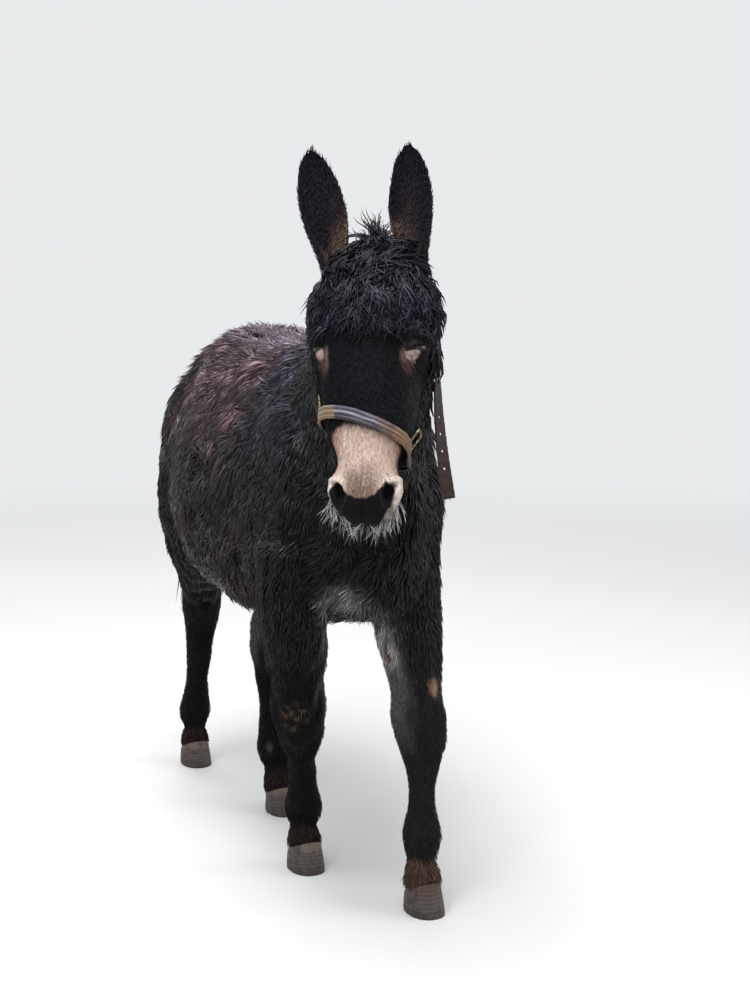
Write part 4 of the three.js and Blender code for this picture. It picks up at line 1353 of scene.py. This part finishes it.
@dataclass(frozen=True)
class TintedFinish:
    """A finish that takes its colour from the piece's own tint, broken up by fine grain.

    On a lock the grain runs along the hair; on a surface it is as fine as that scale, in waves per metre.
    """

    name: str
    roughness: float
    shine: float
    scale: Place | None = None
    wet: float = 0.0
    metallic: float = 0.0
    bump: float = 0.5
    bump_height: float = 0.0012
    contrast: tuple[float, float] = (0.45, 1.65)
    strands: Place = (9.0, 1.2, 1.0)

    def material(self) -> Material:
        """Makes the finish's material.

        Returns:
            The material.
        """
        made, tree = Tree.of_material(self.name)
        tint = tree.add("ShaderNodeAttribute", attribute_name="tint").outputs["Color"]
        if self.scale is None:
            place = tree.add("ShaderNodeAttribute", attribute_name="spot").outputs["Vector"]
        else:
            place = tree.add("ShaderNodeTexCoord").outputs["Object"]
        stretch = tree.add("ShaderNodeMapping", {"Vector": place, "Scale": self.scale or self.strands})
        grain = tree.add("ShaderNodeTexNoise",
                         {"Vector": stretch.outputs[0], "Scale": 1.0, "Detail": 3.0, "Roughness": 0.6}).outputs[0]
        level = grain
        if self.scale is None:
            shade = tree.add("ShaderNodeAttribute", attribute_name="shade").outputs["Fac"]
            level = tree.math("ADD", tree.math("MULTIPLY", grain, 0.6), tree.math("MULTIPLY", shade, 0.6))
        low, high = self.contrast
        spread = tree.add("ShaderNodeMapRange",
                          {"Value": level, "From Min": 0.2, "From Max": 0.9, "To Min": low, "To Max": high})
        colour = tree.add("ShaderNodeVectorMath", {0: tint, "Scale": spread.outputs[0]}, operation="SCALE")
        raised = tree.add("ShaderNodeBump", {"Height": grain, "Strength": self.bump, "Distance": self.bump_height})
        shader = tree.add("ShaderNodeBsdfPrincipled", {
            "Base Color": colour.outputs[0], "Roughness": self.roughness, "Normal": raised.outputs[0],
            "Metallic": self.metallic, "Specular IOR Level": self.shine, "Coat Weight": self.wet,
            "Coat Roughness": 0.22,
        })
        tree.add("ShaderNodeOutputMaterial", {0: shader.outputs[0]})
        return made


@dataclass(frozen=True)
class MottledFinish:
    """A smooth finish that drifts between two tones."""

    name: str
    tone: Enum
    other: Enum
    roughness: float = 0.5
    scale: float = 60.0
    turning: tuple[float, float] = (0.38, 0.68)

    def material(self) -> Material:
        """Makes the finish's material.

        Returns:
            The material.
        """
        made, tree = Tree.of_material(self.name)
        place = tree.add("ShaderNodeTexCoord").outputs["Object"]
        grain = tree.add("ShaderNodeTexNoise",
                         {"Vector": place, "Scale": self.scale, "Detail": 6.0, "Roughness": 0.65})
        blend = tree.add("ShaderNodeValToRGB", {0: grain.outputs[0]})
        for stop, level, tone in zip(blend.color_ramp.elements, self.turning, (self.tone, self.other)):
            stop.position, stop.color = level, (*srgb(tone), 1)
        shader = tree.add("ShaderNodeBsdfPrincipled",
                          {"Base Color": blend.outputs[0], "Roughness": self.roughness})
        tree.add("ShaderNodeOutputMaterial", {0: shader.outputs[0]})
        return made


@dataclass
class Coat:
    """Every piece of coat, cut by zone so that no piece is too heavy."""

    hide: Hide
    wet: Material
    dry: Material
    brow: Material
    tree: CoatTree
    most: int = 19500
    trunk_cuts: tuple[float, ...] = (-0.18, 0.16, 0.42)
    leg_cut: float = 0.46
    first_seed: int = 100
    quick_share: float = 0.4
    soaked: tuple[str, ...] = ("coat_trunk", "coat_neck", "coat_forearms", "coat_hindarms", "coat_tail")

    def zones(self) -> dict[str, Array]:
        """Divides the skin into zones.

        Returns:
            The faces of each zone, by piece name.
        """
        shell = self.hide.shell
        corner = self.hide.label[shell.faces]
        label = np.where(corner[:, 1] == corner[:, 2], corner[:, 1], corner[:, 0])
        centre = shell.points[shell.faces].mean(axis=1)
        fringe = self.hide.fringe[shell.faces].mean(axis=1) > 0.4
        on = {name: label == number for name, number in PART.items()}
        left = centre[:, 0] > np.interp(centre[:, 1], (-0.5, 0.6), (-0.03, 0.02))
        zones: dict[str, Array] = {}
        for side, mine in (("left", left), ("right", ~left)):
            for number, end in enumerate(("fore", "mid", "rear", "haunch")):
                band = np.searchsorted(self.trunk_cuts, centre[:, 1]) == number
                zones[f"coat_trunk_{end}_{side}"] = on["trunk"] & mine & band
            zones[f"coat_neck_{side}"] = on["neck"] & mine
        below = centre[:, 2] + 0.035 * ripple(centre, 0.03, 55) < self.leg_cut
        for end, mine in (("fore", centre[:, 1] < 0), ("hind", centre[:, 1] >= 0)):
            zones[f"coat_{end}legs"] = on["leg"] & mine & below
            zones[f"coat_{end}arms"] = on["leg"] & mine & ~below
        zones["coat_face"] = on["head"] & ~fringe
        side = HEAD.local(centre)[:, 0] > 0
        zones["coat_fringe_left"] = on["head"] & fringe & side
        zones["coat_fringe_right"] = on["head"] & fringe & ~side
        zones["coat_ears"] = on["ear"]
        zones["coat_tail_dock"] = on["tail_dock"]
        return {name: np.flatnonzero(mine) for name, mine in zones.items() if mine.any()}

    def build(self) -> None:
        """Grows every zone: soaked on the body, drier on the face, ears and lower legs, and wavy on the brow."""
        shell = self.hide.shell
        a, b, c = (shell.points[shell.faces[:, k]] for k in range(3))
        area = np.linalg.norm(np.cross(b - a, c - a), axis=1) / 2
        density = shell.measures["fur_density"][shell.faces].mean(axis=1)
        for seed, (name, faces) in enumerate(self.zones().items(), self.first_seed):
            wanted = float((area[faces] * density[faces]).sum())
            if "fringe" in name:
                weight, lock, finish, turn = 2.2, Lock.FRINGE, self.brow, 0.14
            else:
                weight, lock, finish, turn = 1.0, Lock.COAT, self.dry, 0.26
            if name.startswith(self.soaked):
                finish = self.wet
            share = min(1.0, self.most / max(wanted * weight, 1.0)) * 1.0
            LOG.info("%s: %d locks wanted, share %.2f", name, wanted, share)
            settle(self.tree.grow(name, shell, faces, Growth(seed, lock, finish, turn, share=share)), Slot.COAT)


@dataclass
class LongHair:
    """The mane, the tail's switch and the whiskers, which stand on the same skin as the coat."""

    hide: Hide
    nodes: dict[str, Object]
    tree: CoatTree
    hair: Material
    white: Material
    tail_edge: float = 0.016
    mane_reach: float = 0.16
    least_mane: float = 0.016
    switch_top: float = 0.82

    def build(self) -> None:
        """Grows every piece and sets each in place."""
        self.mane()
        self.switch()
        self.whiskers()

    def grow(self, name: str, faces: Array, changes: dict[str, Array | float], growth: Growth,
             *nodes: str) -> None:
        """Grows one piece of long hair on the skin.

        Args:
            name: The piece's name.
            faces: Numbers of the faces that it grows on.
            changes: What differs from the coat's own measures.
            growth: How it grows.
            nodes: The CAD nodes that it stands for.
        """
        skin = self.hide.shell
        bed = Shell(skin.points, skin.faces)
        count = len(skin.points)
        bed.measures = {**skin.measures, **{key: np.broadcast_to(value, (count, 3) if key == "flow" else count)
                                            for key, value in changes.items()}}
        settle(self.tree.grow(name, bed, faces, growth), Slot.HAIR, *nodes)

    def mane(self) -> None:
        """Grows the short upright mane, as high at each place as the solid that it stands for."""
        shell, normals = self.hide.shell, self.hide.shell.normals()
        solid = Shell.of_nodes(["mane"], self.nodes)
        tree = solid.search_tree()
        low, high = solid.points.min(axis=0) - 0.02, solid.points.max(axis=0) + 0.02
        near = ((shell.points > low) & (shell.points < high)).all(axis=1) & (self.hide.label != PART["ear"])
        height = np.zeros(len(shell.points))
        for k in np.flatnonzero(near):
            outside = shell.points[k] + normals[k] * self.mane_reach
            hit = tree.ray_cast(outside.tolist(), (-normals[k]).tolist(), self.mane_reach)
            if hit[0] is not None:
                height[k] = self.mane_reach - hit[3]
        lean = np.array([0.1, 0.9, -0.3]) + 0.5 * gusts(shell.points, 0.04, 60)
        self.grow("mane_hair", np.flatnonzero(height[shell.faces].min(axis=1) > self.least_mane), {
            "fur_length": height * 1.06, "fur_width": 0.0042, "fur_lift": 0.004, "fur_stand": 1.22,
            "fur_density": 62000.0, "flow": along_skin(lean, normals),
        }, Growth(301, Lock.WAVY, self.hair, 0.9, 0.28), "mane")

    def switch(self) -> None:
        """Grows the tail's long hair, from the lower dock to the tip."""
        shell = self.hide.shell
        low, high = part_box("tail_switch")
        foot = np.array([high[0] - self.tail_edge, (low[1] + high[1]) / 2, low[2]])
        height = shell.points[:, 2]
        place = (self.hide.label == PART["tail_dock"]) & (height < self.switch_top)
        aim = foot + 0.016 * gusts(shell.points, 0.02, 70)
        self.grow("tail_switch_hair", np.flatnonzero(place[shell.faces].all(axis=1)), {
            "fur_length": 0.86 * np.maximum(height - low[2], 0.02), "fur_width": 0.0042, "fur_lift": 0.012,
            "fur_stand": 0.02, "fur_density": 90000.0, "flow": unit(aim - shell.points),
        }, Growth(302, Lock.LONG, self.hair, 0.05, 0.03), "tail_switch")

    def whiskers(self) -> None:
        """Grows the long pale whiskers of the chin and lips."""
        shell = self.hide.shell
        x, y, z = HEAD.local(shell.points).T
        place = (self.hide.label == PART["head"]) & (z < -0.462) & (y > -0.030) & (y < 0.055)
        out = HEAD.turned(np.stack([7.0 * x, -0.25 + 0 * x, -0.7 + 0 * x], axis=1))
        beside = ramp(0.004, 0.030, np.abs(x - NOSE_LINE))
        self.grow("whiskers", np.flatnonzero(place[shell.faces].all(axis=1)), {
            "fur_length": 0.040, "fur_width": 0.00036, "fur_lift": 0.005, "fur_stand": 0.45,
            "fur_density": 11000.0 * place * beside + 5000.0 * place, "flow": along_skin(out, shell.normals()),
        }, Growth(303, Lock.WHISKER, self.white, 0.5, 0.35))


@dataclass
class Hooves:
    """The four horn walls, with growth rings, each resting flat."""

    nodes: dict[str, Object]
    finish: Material
    swell: float = 0.0004
    grain: float = 0.0027
    ring_gap: float = 0.0078
    ring_height: float = 0.00055
    flat_below: float = 0.0012

    def build(self) -> None:
        """Makes each wall from its solid."""
        for seed, name in enumerate(HOOVES):
            shell = triangulated(fused(Shell.of_nodes([name], self.nodes, self.swell), self.grain))
            shell.points = shell.smoothed(shell.points, 4)
            z = shell.points[:, 2]
            normals = shell.normals()
            wall = ramp(0.9, 0.6, np.abs(normals[:, 2])) * ramp(0.004, 0.010, z)
            rings = np.sin(2 * math.pi * z / self.ring_gap + 1.1 * ripple(shell.points, 0.05, 80 + seed))
            shell.moved(normals, self.ring_height * rings * wall)
            low = shell.points[:, 2] < self.flat_below
            shell.points[low, 2] = 0.0
            top = ramp(0.040, 0.058, z + 0.003 * ripple(shell.points, 0.02, 90 + seed))
            splashed = ramp(0.024, 0.0, z + 0.010 * ripple(shell.points, 0.012, 95 + seed))
            smeared = 0.8 * ramp(0.5, 1.2, ripple(shell.points, 0.014, 195 + seed))
            paint = Paint(shell, TackTone.HORN)
            # painted light and shade: the rings' raised ridges are lighter and their grooves darker
            paint.tint *= (1 + 0.16 * rings * wall)[:, None]
            paint.lay(TackTone.WET_HORN_TOP if name == "hoof_fore_left" else TackTone.HORN_TOP, top)
            paint.lay(TackTone.DIRT, 0.7 * np.maximum(splashed, smeared))
            paint.dry()
            dress(name + "_wall", shell, self.finish, Slot.HORN, name)


@dataclass
class Eyes:
    """The two glossy eyeballs, each with a dark iris and a level pupil."""

    hide: Hide
    finish: Material
    radius: float = 0.0208
    pupil_width: float = 0.36
    pupil_height: float = 0.20

    def build(self) -> None:
        """Makes each eyeball round the centre of its solid."""
        for side, name in zip((1, -1), EYES):
            low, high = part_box(name)
            centre = np.array((low + high) / 2)
            grid = bmesh.new()
            bmesh.ops.create_icosphere(grid, subdivisions=5, radius=self.radius)
            mesh = bpy.data.meshes.new(name)
            grid.to_mesh(mesh)
            grid.free()
            shell = Shell.of_mesh(mesh)
            bpy.data.meshes.remove(mesh)
            heading = unit(shell.points)
            shell.points = shell.points + centre
            ahead = HEAD.turned(self.hide.ahead(side))[0]
            across = HEAD.turned(unit(np.cross((0, 0, 1), self.hide.ahead(side))))[0]
            off = np.arccos(np.clip(heading @ ahead, -1, 1))
            sideways, upward = heading @ across, heading @ np.cross(ahead, across)
            pupil = np.hypot(sideways / self.pupil_width, upward / self.pupil_height)
            paint = Paint(shell, TackTone.EYE_WHITE)
            paint.lay(TackTone.IRIS, ramp(0.95, 0.88, off))
            paint.lay(TackTone.PUPIL, ramp(1.1, 0.95, pupil) * (off < 1.2))
            paint.dry()
            dress(name + "_ball", shell, self.finish, Slot.EYE, name)


@dataclass
class Halter:
    """The worn straps, snug on the skin under the hair, and their dull metal."""

    nodes: dict[str, Object]
    hide: Hide
    leather: Material
    metal: Material
    strap_grain: float = 0.0013
    metal_grain: float = 0.0007
    gap: float = 0.0012
    most_pull: float = 0.022
    nose_pull: float = 0.003
    nose_half: float = 0.013
    ridge: float = 0.0009
    skin: BVHTree = field(init=False)

    def build(self) -> None:
        """Makes every strap and every piece of metal, and brings all but the buckle and loose end in to the skin."""
        self.skin = self.hide.shell.search_tree()
        for name in [n for n in self.nodes if n.startswith("halter")]:
            metal = "ring" in name or "buckle" in name
            grain = self.metal_grain if metal else self.strap_grain
            shell = triangulated(fused(Shell.of_nodes([name], self.nodes), grain))
            shell.points = shell.smoothed(shell.points, 2)
            if not ("loose" in name or "buckle" in name):
                pull = self.pull(shell, self.most_pull if "headpiece" in name else self.nose_pull)
                shell.points = shell.points + (pull.mean(axis=0) if metal else shell.smoothed(pull, 24))
            if metal:
                self.tint_metal(shell, name)
            elif "noseband" in name:
                across = np.clip(self.across_noseband(HEAD.local(shell.points)), -1, 1)
                shell.moved(shell.normals(), self.ridge * np.cos(3 * math.pi * across))
                self.tint_noseband(shell)
            else:
                self.tint_strap(shell, name)
            finish, slot = (self.metal, Slot.BRASS) if metal else (self.leather, Slot.LEATHER)
            dress(name + "_worn", shell, finish, slot, name)

    def pull(self, shell: Shell, most: float) -> Array:
        """How far to bring each point in, so that the strap's inner side lies just over the skin.

        Args:
            shell: The strap.
            most: The farthest that any point is brought in.

        Returns:
            A shift for each point.
        """
        found = [self.skin.find_nearest(p) for p in shell.points.tolist()]
        inward = -np.array([hit[1] for hit in found])
        inner = np.array([hit[3] for hit in found])
        edges = shell.edges()
        for _ in range(10):
            lowest = inner.copy()
            np.minimum.at(lowest, edges[:, 0], inner[edges[:, 1]])
            np.minimum.at(lowest, edges[:, 1], inner[edges[:, 0]])
            inner = lowest
        low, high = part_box("halter_buckle")
        clear = ramp(0.035, 0.080, np.linalg.norm(shell.points - np.array((low + high) / 2), axis=1))
        return inward * (np.clip(inner - self.gap, 0, most) * clear)[:, None]

    def across_noseband(self, local: Array) -> Array:
        """Where places lie across the noseband: minus one at its lower edge and one at its upper."""
        angle = np.arctan2(local[:, 0], 0.012 - local[:, 1])
        return (local[:, 2] + 0.349 + 0.031 * np.sin(angle) - 0.015 * np.cos(angle)) / self.nose_half

    def wear_and_edge_light(self, shell: Shell) -> tuple[Array, Array]:
        """Finds a strap's sharp edges and its worn streaks: the edges are rubbed on the straps and carry a painted
        highlight and painted shade on the noseband.

        Args:
            shell: The strap.

        Returns:
            How sharp each point's edge is, from 0 to 1, and streaks along the strap, from about -1 to 1.
        """
        local = HEAD.local(shell.points)
        x, y, _ = local.T
        bulge = ((shell.points - shell.smoothed(shell.points, 5)) * shell.normals()).sum(axis=1)
        along = np.stack([0.12 * x, 0.12 * y, self.nose_half * self.across_noseband(local)], axis=1)
        return ramp(0.00015, 0.00060, bulge), ripple(along, 0.0030, 71)

    def tint_strap(self, shell: Shell, name: str) -> None:
        """Colours a dark strap, rubbed along its edges.

        Args:
            shell: The strap.
            name: Its CAD node.
        """
        edge, streak = self.wear_and_edge_light(shell)
        loose = "loose" in name
        rub = TackTone.LOOSE_END_WORN if loose else TackTone.STRAP_WORN
        paint = Paint(shell, TackTone.LOOSE_END if loose else TackTone.STRAP)
        paint.lay(rub, 0.8 * edge)
        paint.lay(rub, 0.35 * ramp(0.2, 1.2, streak))
        paint.dry()

    def tint_noseband(self, shell: Shell) -> None:
        """Colours the noseband, weathered blue-grey over the nose and brown towards its ends, with a painted highlight
        along its middle ridge and upper edge and painted shade along its lower edge.

        Args:
            shell: The noseband.
        """
        edge, streak = self.wear_and_edge_light(shell)
        local = HEAD.local(shell.points)
        x, y, _ = local.T
        across = self.across_noseband(local)
        blotch = ripple(local, 0.022, 72)
        front = ramp(0.010, -0.012, y)
        paint = Paint(shell, TackTone.STRAP)
        for tone, mask in (
            (TackTone.BAND, 1.0),
            (TackTone.BAND_WORN, 0.8 * ramp(0.2, 1.1, streak) * ramp(-0.3, 0.2, across)),
            # painted highlight on the raised middle ridge
            (TackTone.BAND_RIDGE, 0.8 * bell(across - 0.05 + 0.12 * blotch, 0.0, 0.16)),
            (TackTone.BAND_LOW, 0.85 * ramp(-0.25, -0.50, across + 0.1 * blotch)),
            (TackTone.BAND_BROWN, 0.8 * ramp(0.012, 0.034, x + 0.008 * blotch)),
            (TackTone.BAND_TAN, 0.7 * ramp(0.012, 0.034, x) * bell(across, 0.1, 0.2)),
            (TackTone.BAND_RIGHT_END, 0.85 * ramp(-0.054, -0.060, x + 0.002 * blotch)),
            (TackTone.BAND_LEFT_END, 0.8 * ramp(0.046, 0.056, x + 0.003 * blotch)),
            # painted highlight on the rubbed upper edge and painted shade on the lower edge
            (TackTone.BAND_UPPER_EDGE, 0.7 * edge * ramp(0.2, 0.8, across)),
            (TackTone.BAND_LOWER_EDGE, 0.8 * edge * ramp(-0.2, -0.8, across)),
        ):
            paint.lay(tone, front * mask)
        paint.dry()

    def tint_metal(self, shell: Shell, name: str) -> None:
        """Colours dull metal, paler where it rubs and darker on the buckle and the right ring.

        Args:
            shell: The piece of metal.
            name: Its CAD node.
        """
        paint = Paint(shell, TackTone.BRASS)
        paint.lay(TackTone.BRASS_WORN, ramp(-0.4, 1.0, ripple(shell.points, 0.004, 73)))
        paint.tint *= 0.30 if "buckle" in name or "right" in name else 1.0
        paint.dry()


@dataclass
class Studio:
    """The floor, the soft lamps, the pale surround and the camera."""

    floor_size: float = 60.0
    floor_colour: Colour = srgb(TackTone.FLOOR)
    floor_fade: tuple[float, float] = (1.6, 7.0)
    surround_colour: Colour = srgb(TackTone.SURROUND)
    sky_colour: Colour = (0.93, 0.96, 1.0)
    sky_strength: float = 0.45
    aim: Place = (0.0, 0.0, 0.7)
    eye: Place = (-1.4037, -3.380, 1.264)
    yaw: float = -24.6
    pitch: float = 7.54
    lens: float = 61.2
    sensor: float = 36.0

    def build(self) -> None:
        """Sets up everything that isn't the animal."""
        self.floor()
        self.lamp("sky", (-0.9, -1.0, 4.6), 2.4, 170)
        self.lamp("key", (-3.2, -3.6, 4.6), 3.2, 110)
        self.lamp("fill", (3.6, -2.4, 3.0), 3.0, 60)
        self.lamp("back", (0.5, 4.2, 4.4), 3.4, 120)
        self.surround()
        self.camera()

    def floor(self) -> None:
        """Lays a plain floor that fades into the surround far from the animal."""
        bpy.ops.mesh.primitive_plane_add(size=self.floor_size)
        floor = bpy.context.active_object
        floor.name = "floor"
        made, tree = Tree.of_material("floor_paint")
        paint = tree.add("ShaderNodeBsdfPrincipled", {"Base Color": (*self.floor_colour, 1), "Roughness": 0.9})
        glow = tree.add("ShaderNodeEmission", {"Color": (*self.surround_colour, 1), "Strength": 1.0})
        spot = tree.add("ShaderNodeTexCoord").outputs["Object"]
        far = tree.add("ShaderNodeVectorMath", {0: spot}, operation="LENGTH").outputs["Value"]
        start, end = self.floor_fade
        fade = tree.add("ShaderNodeMapRange", {"Value": far, "From Min": start, "From Max": end},
                        interpolation_type="SMOOTHSTEP")
        seen = tree.math("MULTIPLY", fade.outputs[0], self.showing(tree))
        blend = tree.add("ShaderNodeMixShader", {0: seen, 1: paint.outputs[0], 2: glow.outputs[0]})
        tree.add("ShaderNodeOutputMaterial", {0: blend.outputs[0]})
        floor.data.materials.append(made)

    def showing(self, tree: Tree) -> NodeSocket:
        """Tells what the camera sees, straight, in a reflection or through glass, from the light itself.

        Args:
            tree: The node tree that asks.

        Returns:
            One for what is seen and zero for the light.
        """
        path = tree.add("ShaderNodeLightPath").outputs
        mirrored = tree.math("MAXIMUM", path["Is Glossy Ray"], path["Is Transmission Ray"])
        return tree.math("MAXIMUM", path["Is Camera Ray"], mirrored)

    def lamp(self, name: str, place: Place, size: float, power: float) -> None:
        """Hangs one square soft lamp that looks at the animal's middle.

        Args:
            name: The lamp's name.
            place: Where it hangs.
            size: The length of its side.
            power: Its power in watts.
        """
        data = bpy.data.lights.new(name, "AREA")
        data.energy, data.size = power, size
        holder = link(name, data)
        holder.location = place
        holder.rotation_euler = (Vector(self.aim) - holder.location).to_track_quat("-Z", "Y").to_euler()

    def surround(self) -> None:
        """Lights the scene evenly and shows a pale surround to the camera."""
        world = bpy.data.worlds.new("surround")
        world.use_nodes = True
        bpy.context.scene.world = world
        tree = Tree(world.node_tree)
        light = tree.add("ShaderNodeBackground", {"Color": (*self.sky_colour, 1), "Strength": self.sky_strength})
        shown = tree.add("ShaderNodeBackground", {"Color": (*self.surround_colour, 1), "Strength": 1.0})
        blend = tree.add("ShaderNodeMixShader", {0: self.showing(tree), 1: light.outputs[0], 2: shown.outputs[0]})
        tree.add("ShaderNodeOutputWorld", {0: blend.outputs[0]})

    def camera(self) -> None:
        """Stands the camera at the animal's front right, as high as its eyes and looking slightly down."""
        camera = bpy.data.cameras.new("camera")
        camera.lens, camera.sensor_width, camera.sensor_fit = self.lens, self.sensor, "AUTO"
        holder = link("camera", camera)
        holder.location = self.eye
        holder.rotation_euler = (math.radians(90 - self.pitch), 0, math.radians(self.yaw))
        bpy.context.scene.camera = holder
        bpy.context.scene.view_settings.view_transform = "Standard"


def main() -> None:
    """Builds the donkey and its studio."""
    logging.basicConfig(level=logging.INFO, format="%(name)s: %(message)s", stream=sys.stdout)
    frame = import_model()
    nodes = frame["nodes"]
    Studio().build()
    hide = Hide(nodes)
    skin = hide.build()
    short = TintedFinish("short_fur", 0.62, 0.05, scale=(420.0, 420.0, 90.0)).material()
    wet = TintedFinish("wet_fur", 0.34, 0.17, wet=0.30, contrast=(0.22, 2.5)).material()
    dry = TintedFinish("dry_fur", 0.45, 0.09, wet=0.09, contrast=(0.3, 2.2)).material()
    brow = TintedFinish("fringe_fur", 0.36, 0.10, wet=0.12, contrast=(0.2, 2.8)).material()
    white = MottledFinish("whisker_white", TackTone.WHISKER, TackTone.WHISKER_PALE).material()
    horn = TintedFinish("horn", 0.55, 0.3, scale=(500.0, 500.0, 60.0), bump=0.35).material()
    gloss = TintedFinish("eye_gloss", 0.06, 0.5, scale=(200.0, 200.0, 200.0), bump=0.0).material()
    leather = TintedFinish("old_leather", 0.5, 0.3, scale=(300.0, 300.0, 300.0), bump=0.4).material()
    metal = TintedFinish("dull_brass", 0.38, 0.5, scale=(260.0, 260.0, 260.0), metallic=1.0).material()
    skin.data.materials.append(short)
    settle(skin, Slot.COAT, *FLESH)
    tree = CoatTree()
    Coat(hide, wet, dry, brow, tree).build()
    LongHair(hide, nodes, tree, wet, white).build()
    Hooves(nodes, horn).build()
    Eyes(hide, gloss).build()
    Halter(nodes, hide, leather, metal).build()
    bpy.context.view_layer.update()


if __name__ == "__main__":
    main()
